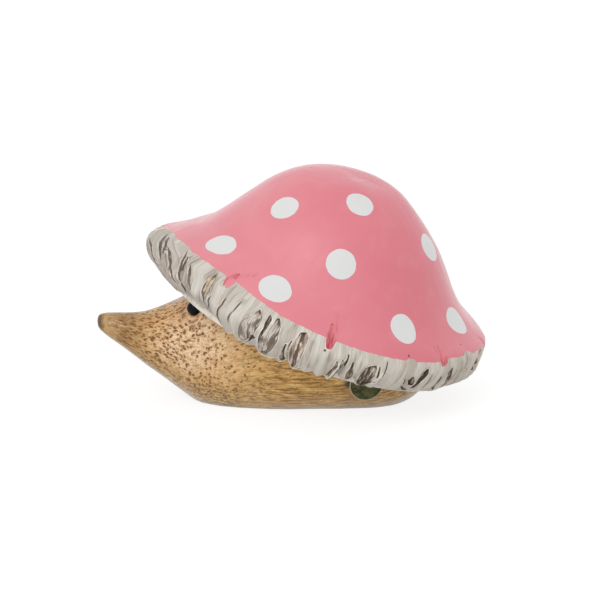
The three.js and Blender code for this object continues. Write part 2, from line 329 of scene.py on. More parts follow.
# Middles of the patches of colour, in metres
pore_patch = (-0.05, -0.013, 0.029)
cheek = (-0.036, -0.0185, 0.027)
below_eye = (-0.041, -0.014, 0.036)
nose_spot = (-0.0678, -0.0027, 0.0306)
pocket_shadow = (0.0213, -0.031, 0.0128)

# Pores, specks and streaks
wood = Finish("varnished_bamboo_root")
along, across, up = (wood.value("fibre_" + name) for name in ("along", "across", "up"))
fibres = wood.vector(along, across, up)
bent_fibres = wood.wander(fibres, 600.0, 0.0016)
at_rear = wood.band(wood.value("behind_nose"), 40.0, 78.0)
pore_reach = wood.band(wood.noise(fibres, 600.0, 2.0), 0.3, 0.7, 0.24, 0.42)
pore_reach = wood.times(pore_reach, wood.band(at_rear, 0.0, 1.0, 1.0, 0.4))
pore_reach = wood.times(pore_reach, wood.band(wood.distance(pore_patch), 0.012, 0.03, 1.2, 0.9))
to_pore = wood.math("DIVIDE", wood.cells(bent_fibres, 680.0), pore_reach)
pore = wood.band(to_pore, 1.05, 0.6)
pore_halo = wood.band(to_pore, 1.9, 1.0)
speck = wood.band(wood.cells(bent_fibres, 1500.0), 0.34, 0.16)
streak_place = wood.wander(wood.vector(wood.times(along, 0.3), across, up), 160.0, 0.0016)
streak = wood.noise(streak_place, 1350.0, 3.0, 0.65)
wide_streak = wood.noise(streak_place, 420.0, 2.0)
broad = wood.noise(wood.place((0.5, 1, 1)), 75.0, 3.0)
mottle = wood.noise(wood.place(), 420.0, 3.0, 0.6)
faint = wood.band(wood.noise(wood.place(), 260.0, 2.0), 0.46, 0.62)

# Patches of colour: pale cheek, golden brow, yellow rear, grey-brown snout, and darker wood under the cap and
# below, which is partly painted shade under the rim and low on the sides
tone = wood.mix(wood.band(broad, 0.35, 0.65), srgb(238, 200, 148), srgb(224, 178, 118))
from_cheek = wood.math("ADD", wood.distance(cheek), wood.times(broad, 0.012))
tone = wood.coat(tone, (255, 226, 190), wood.band(from_cheek, 0.028, 0.012), 0.85)
tone = wood.coat(tone, (210, 148, 88), wood.band(mottle, 0.5, 0.64), 0.45)
from_brow = wood.math("ADD", wood.distance(below_eye), wood.times(broad, 0.01))
tone = wood.coat(tone, (208, 142, 68), wood.band(from_brow, 0.016, 0.006), 0.5)
tone = wood.coat(tone, (216, 166, 86), at_rear, 0.9)
snout = wood.band(wood.value("behind_nose"), 24.0, 6.0)
tone = wood.coat(tone, (126, 98, 58), snout, 0.9)
# Darker amber under the cap: partly the varnish's tone, partly painted shade under the rim
amber_and_shade_under_cap = wood.math("ADD", wood.value("below_cap"), wood.times(broad, 9.0))
tone = wood.coat(tone, (204, 142, 52), wood.band(amber_and_shade_under_cap, 15.0, 3.0, 0.0, 0.6))
# Olive tone low on the sides: partly the root's colour, partly painted shade on the parts facing down
below = wood.math("ADD", wood.value("low_on_side"), wood.times(wide_streak, 0.5))
low = wood.times(wood.band(below, 0.4, 0.9), wood.band(at_rear, 0.0, 1.0, 1.0, 0.25))
tone = wood.coat(tone, (192, 160, 90), low, 0.65)

# Streaks, pores and specks over the patches
low_or_snout = wood.math("MAXIMUM", low, snout)
streaky = wood.math("MAXIMUM", wood.band(at_rear, 0.0, 1.0, 0.3, 1.0), low_or_snout)
tone = wood.coat(tone, (124, 80, 20), wood.band(streak, 0.5, 0.6), streaky, 0.85)
tone = wood.coat(tone, (250, 216, 142), wood.band(streak, 0.47, 0.36), streaky, 0.75)
tone = wood.coat(tone, (152, 108, 40), wood.band(wide_streak, 0.52, 0.7), streaky, 0.45)
tone = wood.coat(tone, (186, 122, 48), pore_halo, wood.band(at_rear, 0.0, 1.0, 0.5, 0.2))
tone = wood.coat(tone, (118, 76, 14), pore, wood.band(faint, 0.0, 1.0, 0.95, 0.5))
tone = wood.coat(tone, (140, 90, 28), speck, 0.6)

# Nose tip, a painted shadow beside the button's pocket, and a painted pale sheen at the wood's outline, as a
# reflection at grazing angles
to_tip = wood.math("ADD", wood.value("behind_nose"), wood.times(broad, 1.5))
behind_tip = (wood.band(to_tip, 3.4, 4.2), wood.band(to_tip, 11.0, 6.5))
tone = wood.coat(tone, (214, 172, 118), *behind_tip, 0.6)
on_nose_spot = wood.band(wood.distance(nose_spot), 0.0012, 0.0002, 0.0, 0.6)
tip_dark = wood.math("MAXIMUM", wood.band(to_tip, 3.4, 2.2), on_nose_spot)
tone = wood.coat(tone, (88, 68, 48), tip_dark, 0.8)
# Painted shadow beside the button's pocket
tone = wood.coat(tone, (52, 38, 20), wood.band(wood.distance(pocket_shadow), 0.0024, 0.0008), 0.9)
# Painted sheen: the wood turns pale grey where it turns away from the eye, as a reflection would
tone = wood.coat(tone, (204, 200, 188), wood.grazing(0.58, 0.88), 0.65)
relief = wood.bump(wood.math("SUBTRACT", 1.0, pore), 0.0007, 0.8)
relief = wood.bump(streak, 0.0003, 0.4, relief)
wood_material = wood.surface(
    Base_Color=tone, Normal=relief, Roughness=wood.band(pore, 0.0, 1.0, 0.5, 0.7), Specular_IOR_Level=0.2,
    Coat_Weight=0.6, Coat_Roughness=0.3,
)
root.data.materials.append(wood_material)
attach(root, "root")
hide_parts("root_body")

# Toadstool cap. Light wood, turned and carved: a domed crown with a flared edge, a thick rounded rim that is
# scored all round with a knife, and a shallow hollow below. Brush-painted, and glued on the sawn back.
cap_radius = 66.3 * mm
cap_height = 58.2 * mm
cap_narrowing = 0.935
crown_shift = -0.8 * mm
cap_sides = 72
lip_width = 4 * mm
hollow_slope = 4 * mm

# Outline from crown to lower edge, as the solid has it, in shares of the cap's size: reach, height, rise at
# the rear, rise at the far side, and extra reach at the rear
cap_rows = np.array([
    (0.00, 1.000, 0.000, 0.000, 0.000),
    (0.21, 1.000, 0.000, 0.000, 0.000),
    (0.42, 0.871, -0.038, -0.031, 0.000),
    (0.60, 0.641, -0.003, -0.010, 0.000),
    (0.76, 0.376, 0.017, -0.022, 0.000),
    (0.88, 0.309, -0.010, -0.021, 0.046),
    (0.942, 0.220, 0.007, -0.029, 0.036),
    (1.03, 0.107, -0.012, -0.064, -0.068),
    (0.935, 0.005, -0.017, -0.041, 0.010),
    (0.88, 0.000, 0.000, 0.000, 0.000),
])
lower_edge = len(cap_rows) - 1


def ring_points(row, turn):
    """Points of one row of the cap's outline, all the way round, in the cap's own frame."""
    reach, height, rear_rise, far_rise, rear_reach = np.moveaxis(np.asarray(row, float), -1, 0)
    radius = (np.maximum(reach, 0) + rear_reach * np.cos(turn)) * cap_radius
    return np.stack([
        radius * np.cos(turn) + crown_shift * (1 - np.minimum(reach, 1) ** 2),
        radius * np.sin(turn) * cap_narrowing,
        (height + rear_rise * np.cos(turn) + far_rise * np.sin(turn)) * cap_height,
    ], -1)


def cap_skin(turn, down):
    """Point of the cap's outer skin: turn is measured from the rear, down counts the rows of its outline."""
    mirrored = cap_rows[1] * (-1, 1, -1, -1, -1)
    rows = np.vstack([mirrored, cap_rows, 2 * cap_rows[-1] - cap_rows[-2]])
    turn, down = np.broadcast_arrays(np.asarray(turn, float), np.asarray(down, float))
    start = np.clip(down.astype(int), 0, lower_edge - 1)
    t = (down - start)[..., None]
    row = ((1 - t) ** 3 * rows[start] + (3 * t**3 - 6 * t**2 + 4) * rows[start + 1]
           + (-3 * t**3 + 3 * t**2 + 3 * t + 1) * rows[start + 2] + t**3 * rows[start + 3]) / 6
    return ring_points(row, turn)


def cap_facing(turn, down):
    step = 0.02
    down = np.clip(down, 0.1, lower_edge - 0.05)
    facing = np.cross(cap_skin(turn, down + step) - cap_skin(turn, down - step),
                      cap_skin(turn + step, down) - cap_skin(turn - step, down))
    return facing / np.linalg.norm(facing, axis=-1, keepdims=True)


edge_reach = cap_rows[-1, 0]
hollow_share = hollow_depth / cap_height
all_rows = [
    (0.07, 1, 0, 0, 0),
    *cap_rows[1:],
    (edge_reach - lip_width / cap_radius, 0, 0, 0, 0),
    (edge_reach - (lip_width + hollow_slope) / cap_radius, hollow_share, 0, 0, 0),
    (edge_reach - (lip_width + 2 * hollow_slope) / cap_radius, hollow_share, 0, 0, 0),
    (0.3, hollow_share, 0, 0, 0),
]
start_piece()
top_radius = all_rows[0][0] * cap_radius
bpy.ops.mesh.primitive_circle_add(vertices=cap_sides, radius=top_radius, fill_type="TRIFAN")
cap = name_piece("painted_toadstool_cap")
bpy.ops.object.mode_set(mode="EDIT")
bpy.ops.mesh.select_all(action="SELECT")
bpy.ops.transform.translate(value=(0, 0, cap_height))
for last, here in zip(all_rows, all_rows[1:]):
    bpy.ops.mesh.extrude_region_move(
        TRANSFORM_OT_translate={"value": (0, 0, (here[1] - last[1]) * cap_height)}
    )
    size = here[0] / last[0]
    bpy.ops.transform.resize(value=(size, size, 1), center_override=(0, 0, here[1] * cap_height))
turn_faces_out()

# Each ring is then settled in its true place: the cap is narrower than long and not the same all round
points = read_points(cap)
turns = np.arctan2(points[:, 1], points[:, 0])
rounding_loss = (2 + math.cos(2 * math.pi / cap_sides)) / 3
for row in all_rows:
    on_ring = np.abs(np.hypot(points[:, 0], points[:, 1]) - row[0] * cap_radius) < 1e-6
    on_ring &= np.abs(points[:, 2] - row[1] * cap_height) < 1e-6
    points[on_ring] = ring_points(row, turns[on_ring]) * (1 / rounding_loss, 1 / rounding_loss, 1)
write_points(cap, points)
apply_modifier(cap, "SUBSURF", levels=3, render_levels=3)


def cap_places(points):
    """For points near the cap's skin: their turn, and how far down the outline they lie."""
    turns = np.arctan2(points[:, 1] / cap_narrowing, points[:, 0])
    downs = np.linspace(0.05, lower_edge, 240)
    down = np.empty(len(points))
    for start in range(0, len(points), 4000):
        block = slice(start, start + 4000)
        skin = cap_skin(turns[block, None], downs[None, :])
        down[block] = downs[np.linalg.norm(points[block, None, :] - skin, axis=-1).argmin(1)]
    return turns, down


# Folds of the rim: rounded lumps with creases between them, uneven in width and height. The leans say, by
# turn, how many degrees a crease shifts over one row above the middle of the rim, and below it. At the front
# the knife was drawn along the rim, so the creases run askew there
rim_middle = 6.85
lean_turns = [
    0, 30, 60, 100, 150, 170, 183, 190, 205, 210, 215, 220, 225, 235, 242, 290, 308, 325, 345, 360,
]
leans_above = [-4, -1, 1, 0, 0, 20, 33, 32, 17, 12.6, 11.3, 9, 6.7, 1.6, 0, 0.5, -1.2, -2, -4, -4]
leans_below = [-4, -1, 1, 0, 0, 0, 26, 33, 37, 10, 0, -3.3, -2.4, -0.5, 0, 0.5, -1.2, -2, -4, -4]
creases = [
    177, 185, 194, 201, 208, 214, 219, 224, 230, 236.5, 240.5, 244, 251, 257.5, 261.5, 266.5, 271, 275,
    279.5, 284.5, 290.5, 294.5, 299.5, 303.5, 309, 313.5, 318.5, 324, 329, 333.5, 338.5, 343, 347, 353, 360,
]
hidden_span = 170
fold_chance = np.random.default_rng(5)
hidden_widths = fold_chance.uniform(3.2, 9, 30)
hidden_creases = np.cumsum(hidden_widths) * hidden_span / hidden_widths.sum()
creases = np.concatenate([[0], hidden_creases, creases])
fold_heights = fold_chance.uniform(0.2, 1, len(creases) - 1)
fold_depth = 1.2 * mm

# How far the lower edge hangs below its outline, in mm, by turn: tongues and notches between the cuts
edge_turns = [
    0, 12, 20, 31, 44, 52, 63, 70, 82, 93, 104, 110, 122, 135, 141, 155, 168, 180, 188, 196, 204, 209, 212,
    214, 218, 223, 226.5, 230, 233, 235, 238, 241, 242.5, 244.5, 248, 249.5, 251, 255.5, 258, 260, 262,
    264.8, 268.5, 271, 273.5, 275.5, 277.6, 278.6, 279.3, 280.2, 282, 284.5, 286, 287.5, 291, 294.5, 296.5,
    299, 301.5, 305, 314, 319, 324, 330, 336, 342, 348, 360,
]
edge_drops = [
    -1.2, -0.3, -0.9, 0.2, 0.9, -0.4, 0.3, 1.0, -0.6, 0.2, 0.9, -0.8, 0.3, 0.8, -0.5, 0.2, 0.3, 0.6, 0.6,
    0.2, 0.2, -0.2, -1.0, -1.8, -3.6, -2.4, -1.9, -1.8, -1.4, 0.0, 1.0, 0.0, 0.8, 1.6, 0.5, 0.0, 1.8, 1.7,
    1.5, 1.5, 0.0, 1.7, 1.1, 0.6, 1.3, 0.6, 1.2, -0.2, -3.6, -1.4, 0.5, -0.4, -2.4, 0.0, 0.0, -0.5, -0.9,
    -0.2, -0.6, -0.7, -1.4, -1.2, -2.2, -3.2, -4.0, -5.0, -5.0, -1.2,
]

# How much the carver took off the skin in mm, by turn, and the share of it by rows down. Near the rear the
# edge of the crown flares out over the rim
trim_turns = [0, 60, 180, 215, 245, 275, 310, 360]
trims = [0.35, 0.35, 0.4, 0.5, 0.2, 0.4, 0.5, 0.35]
trim_downs = [0, 1, 2.5, 3.5, 4.6, 5.4]
trim_shares = [0.7, 0.8, 1, 1.6, 1.2, 0]
flare_downs = [4.7, 5.35, 5.9, 6.8, 7.5]
flares = [0, 0.8, -0.5, -0.7, 0]
gill_count = 108


def leaned(turns, down):
    """Turns with the slant of the creases taken out, so that each crease keeps one value all the way down."""
    degrees = np.degrees(turns) % 360
    bend = 0.15
    higher = bend * np.logaddexp(0, (rim_middle - down) / bend)
    lower = bend * np.logaddexp(0, (down - rim_middle) / bend)
    above = np.interp(degrees, lean_turns, leans_above) * np.minimum(higher, 0.9)
    low_reach = np.interp(degrees, [209, 214], [0.35, 3])
    below = np.interp(degrees, lean_turns, leans_below) * np.minimum(lower, low_reach)
    return (degrees + above - below) % 360


def fold_height(turns, down):
    """Height of the fold at each place, as a share: 0 in a crease, 1 on the highest lump."""
    place = leaned(turns, down)
    fold = np.clip(np.searchsorted(creases, place, "right") - 1, 0, len(creases) - 2)
    share = (place - creases[fold]) / (creases[fold + 1] - creases[fold])
    return fold_heights[fold] * (1 - (2 * share - 1) ** 2)


points = read_points(cap)
turns, down = cap_places(points)
on_rim = np.clip((down - 5.5) / 1.6, 0, 1) ** 2
from_middle = np.hypot(points[:, 0], points[:, 1] / cap_narrowing) / cap_radius
underside = (points[:, 2] < hollow_depth + 0.1 * mm) & (from_middle < edge_reach - 0.01)
lumps = (fold_height(turns, down) - 0.5) * fold_depth * on_rim * ~underside
degrees = np.degrees(turns) % 360
trimmed = np.interp(degrees, trim_turns, trims) * np.interp(down, trim_downs, trim_shares)
near_rear = np.interp(degrees, [0, 15, 318, 340, 360], [1, 0, 0, 1, 1])
trimmed -= near_rear * np.interp(down, flare_downs, flares)

# The crown's edge is pressed in on the far side of the front. Turns run from -180 to 180 here, so this stops
# at the middle of the front
pressed = np.interp(np.degrees(turns), [150, 170], [0, 0.8])
trimmed += pressed * np.interp(down, [4.2, 4.8, 5.3, 5.8], [0, 1, 1, 0])
points += cap_facing(turns, down) * (lumps - trimmed * mm * ~underside)[:, None]
drop = np.interp(degrees, edge_turns, edge_drops) * mm
points[:, 2] -= drop * np.clip((down - 6.2) / 1.8, 0, 1) * ~underside

# Shallow gills in the hollow
gill = np.interp(from_middle * cap_radius / mm, [30, 40, 49, 51], [0.0, 0.8, 0.8, 0.0]) * mm
points[:, 2] += gill * (0.5 + 0.5 * np.cos(gill_count * turns)) * underside
write_points(cap, points)

# The carver's knife leaves the outside slightly uneven
carving_depth = 0.5 * mm
outside = cap.vertex_groups.new(name="outside")
outside.add(np.flatnonzero(~underside & (down < lower_edge - 0.2)).tolist(), 1, "REPLACE")
carving = bpy.data.textures.new("carving", "CLOUDS")
carving.noise_scale = 13 * mm
apply_modifier(
    cap, "DISPLACE", texture=carving, strength=carving_depth, mid_level=0.5, vertex_group="outside",
)

# Knife cuts. Each has its paint, the place of its deepest line as a share of its width, and chords across it
# from its upper to its lower end: turn and rows down at its left side, then at its right side
knife_cuts = [
    ("brown", 0.2, [(208.5, 5.85, 208.5, 5.8), (209.5, 6, 210, 5.9), (212.5, 6.25, 211.5, 6.1),
                    (214.5, 6.4, 214, 6.25)]),
    ("pale", 0.2, [(224.5, 5.6, 225, 5.55), (224.5, 5.95, 226.5, 5.8), (226.5, 6.3, 227.5, 6.05),
                   (228.5, 6.65, 229.5, 6.45), (230, 6.9, 230.5, 6.85)]),
    ("pink", 0.5, [(230.5, 4.75, 231.5, 4.65), (229.5, 5, 232, 4.75), (230, 5.05, 232.5, 5),
                   (230.5, 5.15, 232.5, 5.15)]),
    ("pink", 0.3, [(229, 5.35, 229.5, 5.3), (229.5, 5.55, 230.3, 5.5), (230.5, 5.8, 231, 5.75)]),
    ("grey", 0.75, [(247.5, 5.95, 247.5, 5.9), (247, 6.25, 250, 6.25), (245, 6.85, 250.5, 6.7),
                    (244, 7.9, 250, 7.3), (244, 8.5, 248.5, 7.8), (246.5, 8.65, 248, 8.1)]),
    ("dark", 0.5, [(249.5, 7.5, 250.5, 7.65), (248, 7.9, 249, 7.95), (245.5, 8.6, 247, 8.5)]),
    ("dark", 0.3, [(251.5, 5.95, 252, 5.95), (251.5, 6.4, 253, 6.15), (252, 6.8, 253, 6.7),
                   (251.5, 7.4, 252.5, 7.35), (251.5, 8.05, 251.5, 7.95)]),
    ("grey", 0.85, [(254, 5.95, 255, 5.9), (254, 6.4, 256.5, 6.25), (253.5, 7, 257, 6.7),
                    (252, 7.55, 257.5, 7.2), (251.5, 8.25, 257, 7.65), (252.5, 8.65, 254.5, 8.6)]),
    ("brown", 0.5, [(263, 6.15, 265, 6), (262.5, 6.55, 266, 6.3), (262, 7.25, 266, 6.7),
                    (262, 7.75, 266, 7.35), (263.5, 8.5, 265.5, 7.95), (264.5, 8.75, 265, 8.55)]),
    ("pale", 0.5, [(261.3, 6.8, 261.7, 6.8), (261, 7.15, 261.5, 7.15), (261.2, 7.55, 261.6, 7.55)]),
    ("brown", 0.5, [(260, 7.1, 260.5, 7.1), (259.7, 7.65, 260.5, 7.55), (259.5, 8.2, 260.8, 7.9),
                    (261, 8.75, 261.5, 8.4)]),
    ("pink", 0.6, [(271.6, 5, 272.6, 4.9), (271.3, 5.6, 274.6, 5.45), (271.4, 6, 274.8, 5.85),
                   (271.8, 6.35, 274.3, 6.25), (272.4, 6.5, 273.7, 6.45)]),
    ("brown", 0.6, [(276.5, 7, 277, 7), (276.3, 7.5, 277.5, 7.3), (276, 7.9, 277, 7.65),
                    (276, 8.55, 277, 8.5)]),
    ("dark", 0.5, [(278, 7.5, 278.5, 7.55), (277.9, 8.15, 278.4, 7.9), (277.3, 8.65, 277.9, 8.5)]),
    ("dark", 0.4, [(278, 6.8, 278.3, 6.8), (278, 7.2, 279, 6.95), (278.4, 7.5, 279.5, 7.3),
                   (278.8, 7.65, 279.2, 7.55)]),
    ("brown", 0.5, [(279.5, 6.4, 280, 6.4), (279.4, 6.7, 280, 6.7), (279.4, 7.15, 280, 7.1),
                    (279.7, 7.35, 280, 7.35)]),
    ("dark", 0.5, [(281.5, 6.75, 282, 6.8), (281.5, 7.2, 282.5, 7.25), (281.5, 7.6, 283.5, 7.55),
                   (282, 8.1, 284, 7.8), (283, 8.4, 284, 8.2)]),
    ("dark", 0.3, [(287.5, 6.7, 289.5, 6.6), (286, 6.9, 290, 6.8), (286, 7.35, 290, 7.2),
                   (286.5, 7.9, 291.5, 7.5), (287, 8.4, 292, 7.7), (289, 8.65, 291, 8)]),
    ("brown", 0.5, [(290.6, 6.6, 291, 6.6), (290.8, 7, 291.3, 6.9), (291.3, 7.45, 291.7, 7.3)]),
    ("brown", 0.5, [(293, 6.2, 293.4, 6.2), (292.7, 6.7, 293.2, 6.7), (292.5, 7.25, 292.8, 7.2)]),
    ("dark", 0.5, [(301, 7.05, 301.5, 7.1), (301.5, 7.4, 302.2, 7.45)]),
    ("dark", 0.4, [(304, 6.85, 304.5, 6.85), (303, 7.15, 305.5, 7.15), (304, 7.45, 306, 7.45)]),
    ("dark", 0.5, [(302, 7.75, 302, 7.65), (304.5, 8.1, 303.5, 7.75), (306, 8.05, 305.5, 7.85)]),
    ("dark", 0.7, [(309, 6.25, 310, 6.2), (307, 6.55, 310, 6.55), (306.5, 6.95, 309, 7),
                   (306.5, 7.35, 308.5, 7.3), (306, 7.75, 308, 7.8)]),
    ("dark", 0.5, [(316.5, 6.65, 317, 6.65), (316.2, 6.9, 317.3, 6.9), (316, 7.3, 317.3, 7.35),
                   (316.5, 7.65, 318, 7.8)]),
    ("pink", 0.5, [(316.5, 4.8, 317.5, 4.8), (316, 5.1, 318.5, 5.1), (315.5, 5.5, 319.5, 5.5),
                   (315.5, 5.75, 319, 5.75), (316, 6, 317, 6)]),
    ("dark", 0.4, [(321.5, 6.1, 322, 6.1), (320, 6.4, 322, 6.45), (320, 6.85, 323, 6.85),
                   (320, 7.2, 323.5, 7.3), (320, 7.4, 323, 7.5)]),
    ("brown", 0.5, [(331.5, 6.25, 333, 6.3), (332, 6.6, 333, 6.65), (332, 6.75, 332.5, 6.75)]),
    ("brown", 0.7, [(343, 5.35, 345, 5.45), (340, 5.65, 344, 5.8), (339, 6, 342, 6.2),
                    (337, 6.3, 342, 6.45), (337.5, 6.6, 340, 6.65)]),
]

# Long thin knife lines along the folds, too fine to cut out and so left to the paint: turn and rows down.
# Neighbours are in different sets, as each set is painted from the distance to its nearest line
knife_lines = {
    "first_line": [
        [(183, 6.1), (186.5, 6.25), (190, 6.35), (197.5, 6.5), (203, 6.7)],
        [(196, 6.2), (200.5, 6.25), (207.5, 6.45), (214, 6.85), (214.5, 7.5), (214.5, 7.65)],
        [(208, 5.8), (211, 6.05), (213.5, 6.3), (215, 6.45)],
        [(214, 6), (218.5, 6.3), (224, 6.85), (219, 8.35)],
        [(224.5, 5.6), (224.5, 5.85), (226, 6.25), (227.5, 6.5), (230, 6.9), (229, 7.8), (227, 8.5)],
        [(231.5, 6.6), (232.5, 7.15), (230, 8.25)],
        [(240.5, 6.0), (241, 6.6), (240, 7.6)],
    ],
    "second_line": [
        [(182, 6.8), (190.5, 6.75), (196, 6.9), (202, 7.1), (205, 7.15)],
        [(187, 6.05), (190, 6.15), (195, 6.27), (199, 6.45)],
        [(204.5, 5.65), (206.5, 5.85), (209.5, 6.1), (213.5, 6.4), (219, 6.85), (216.5, 7.75), (215, 8.45)],
        [(225, 5.55), (226.7, 5.9), (227.5, 6.1), (229.5, 6.45), (230.5, 6.85)],
        [(235.5, 6.25), (236.5, 6.6), (236, 7.4), (235.5, 7.65), (235.5, 8.05), (235.5, 8.8)],
    ],
}
line_width = 0.55

# Soft strokes of the brown wash, brushed on where nothing is cut, and of a redder pink on the crown's edge:
# turn, rows down and width in mm
wash_strokes = [
    [(182, 6.9, 2), (191, 7.05, 2.4), (197.5, 7.15, 1.4)],
    [(187.5, 6.18, 0.8), (192, 6.3, 1.2), (197, 6.42, 0.8)],
    [(201.5, 6.45, 2.6), (206, 6.6, 4), (210.5, 6.9, 3.6), (213.5, 7.25, 2)],
    [(206.5, 6, 1.2), (210, 6.35, 1.6), (212.5, 6.6, 1.4)],
    [(210, 6, 1.4), (214.5, 6.35, 1.6), (219.5, 6.7, 1.6), (221, 7.15, 1.2)],
    [(217.5, 6.4, 1.2), (220.5, 6.65, 1.2), (222.5, 6.9, 1)],
    [(231, 7.05, 1.4), (229.5, 7.75, 1.6), (228.5, 8.1, 1.2)],
    [(234.5, 6.25, 1.4), (235.5, 6.45, 1.4), (236.5, 6.8, 1)],
    [(241, 5.95, 1.8), (240.5, 6.1, 1.8)],
    [(245.5, 6.7, 2), (246, 6.55, 2)],
    [(260.5, 5.9, 1.4), (260, 6.35, 1.4), (260.5, 6.85, 1.2)],
    [(268, 6.4, 1.6), (268, 7.25, 1.6), (269, 7.9, 1.6)],
    [(274, 6.75, 1.2), (274, 7.1, 1.2)],
    [(283, 6.05, 1.2), (282, 6.55, 1.4), (281.5, 6.8, 1.2)],
    [(302.5, 5.8, 2.4), (302, 6.3, 2.6), (301.5, 6.85, 2)],
    [(311, 6.6, 2), (311, 7, 2.2), (311, 7.45, 2)],
    [(327.5, 5.8, 2.4), (328, 6.4, 2.6), (327, 6.95, 2.4)],
    [(332, 5.65, 2), (331.5, 6.25, 2.2), (331.5, 6.7, 1.8)],
]
red_strokes = [
    [(236.5, 4.3, 0.6), (233.5, 4.6, 1.0), (231, 4.95, 2.2), (229.8, 5.4, 1.4)],
    [(272.8, 4.3, 0.6), (272.8, 4.8, 1.6), (273.2, 5.4, 2.8), (273.3, 6.0, 2.6)],
    [(314.5, 4.9, 0.8), (316.5, 5.3, 1.4), (317.5, 5.9, 1.8)],
]

# One degree of turn and one row down, as about so many mm on the skin of the rim
turn_mm = 1.08
row_mm = 7.0
in_mm = np.array([turn_mm, row_mm])


def cut_sides(chords, share):
    """Left and right side of a cut, as turn and rows down, at shares of its length."""
    stations = np.linspace(0, 1, len(chords))
    columns = [np.interp(share, stations, column) for column in np.array(chords, float).T]
    return np.stack(columns[:2], -1), np.stack(columns[2:], -1)


# The hidden half of the rim is cut in the same way, by chance
hidden_from = 352.0
hidden_to = 534
cut_widths = {"dark": 1.6, "brown": 3.6, "grey": 4.6, "pale": 2.2, "pink": 3.2}
chance = random.Random(12)
cut_turn = hidden_from
while cut_turn < hidden_to:
    cut_paint = chance.choice(["dark", "brown", "grey", "brown", "pale", "dark", "grey", "pink"])
    widest = cut_widths[cut_paint] * chance.uniform(0.7, 1.1)
    top = chance.uniform(4.7, 5.0) if cut_paint == "pink" else chance.uniform(5.9, 6.6)
    bottom = top + (1.3 if cut_paint == "pink" else chance.uniform(1.3, 2.5))
    slant = chance.uniform(-2.0, 2.0)
    chords = []
    for share in (0.0, 0.25, 0.5, 0.75, 1.0):
        half = widest / turn_mm * (0.08 + 0.42 * math.sin(math.pi * share**0.8)) * chance.uniform(0.8, 1.2)
        middle = cut_turn + slant * share
        rows = top + (bottom - top) * share
        chords.append((middle - half, rows + chance.uniform(-0.08, 0.08), middle + half, rows))
    knife_cuts.append((cut_paint, chance.uniform(0.2, 0.8), chords))
    cut_turn += widest / turn_mm * 0.5 + chance.uniform(3.0, 6.5)

# Greatest depth of a cut in mm, by its paint
cut_depths = {"dark": 1.1, "brown": 1.2, "grey": 1.1, "pale": 1.0, "pink": 1.2}
cut_paints = list(cut_depths)
cutter_lift = 1.2 * mm
cutter_levels = 16
paint = Finish("brushed_cap_paint")
cut_finishes = {name: Finish("cap_cut_" + name) for name in cut_paints}
cap_materials = [paint.material, *(finish.material for finish in cut_finishes.values())]


def copy_of(first, name):
    """A second piece with a mesh of its own."""
    piece = first.copy()
    piece.data = first.data.copy()
    bpy.context.collection.objects.link(piece)
    piece.name = name
    return piece


def on_carved_skin(place):
    """The cap's real surface over one place of its skin, and the way that it faces there."""
    turn, down = math.radians(place[0]), min(max(place[1], 0.2), lower_edge - 0.02)
    skin, facing = Vector(cap_skin(turn, down)), Vector(cap_facing(turn, down))
    found, where, *_ = cap.ray_cast(skin + facing * 5 * mm, -facing, distance=10 * mm)
    past_edge = Vector((0, 0, -4 * mm * max(place[1] - down, 0)))
    return (where if found else skin) + past_edge, facing


# One blank cutter, a bar of eight sides, is extruded once. Each copy is then laid along its cut: two sides
# stand above the skin, and the lowest corner follows the cut's deepest line
start_piece()
bpy.ops.mesh.primitive_circle_add(vertices=8, radius=1, fill_type="NGON")
blank = bpy.context.object
bpy.ops.object.mode_set(mode="EDIT")
bpy.ops.mesh.select_all(action="SELECT")
for level in range(cutter_levels):
    bpy.ops.mesh.extrude_region_move(TRANSFORM_OT_translate={"value": (0, 0, 1)})
turn_faces_out()
for material in cap_materials:
    blank.data.materials.append(material)
bar = read_points(blank)
bar_levels = np.round(bar[:, 2]).astype(int)
bar_corners = np.round(np.degrees(np.arctan2(bar[:, 1], bar[:, 0])) / 45).astype(int) % 8
cutters = []
for cut_paint, keel, chords in knife_cuts:
    left, right = cut_sides(chords, np.linspace(0, 1, cutter_levels + 1))
    across_bar = np.array([0, 0, keel * 0.55, keel, 0.45 + keel * 0.55, 1, 1, 0.5])
    width = np.linalg.norm((right - left) * in_mm, axis=1)
    deep = np.minimum(cut_depths[cut_paint], 0.35 + 0.35 * width) * mm
    shape = np.empty_like(bar)
    for number, (level, corner) in enumerate(zip(bar_levels, bar_corners)):
        surface, facing = on_carved_skin(left[level] + (right[level] - left[level]) * across_bar[corner])
        side_depth = deep[level] * 0.75
        heights = (cutter_lift, 0, -side_depth, -deep[level], -side_depth, 0, cutter_lift, cutter_lift)
        shape[number] = surface + facing * heights[corner]
    cutter = copy_of(blank, "knife_cut")
    write_points(cutter, shape)
    slot = 1 + cut_paints.index(cut_paint)
    cutter.data.polygons.foreach_set("material_index", [slot] * len(cutter.data.polygons))
    cutters.append(cutter)
bpy.data.objects.remove(blank)
for material in cap_materials:
    cap.data.materials.append(material)
for cutter in cutters:
    start_piece()
    cutter.select_set(True)
    bpy.context.view_layer.objects.active = cutter
    bpy.ops.object.mode_set(mode="EDIT")
    turn_faces_out()
for cutter in cutters:
    cutter.select_set(True)
bpy.ops.object.join()
cut_with(cap, bpy.context.object)

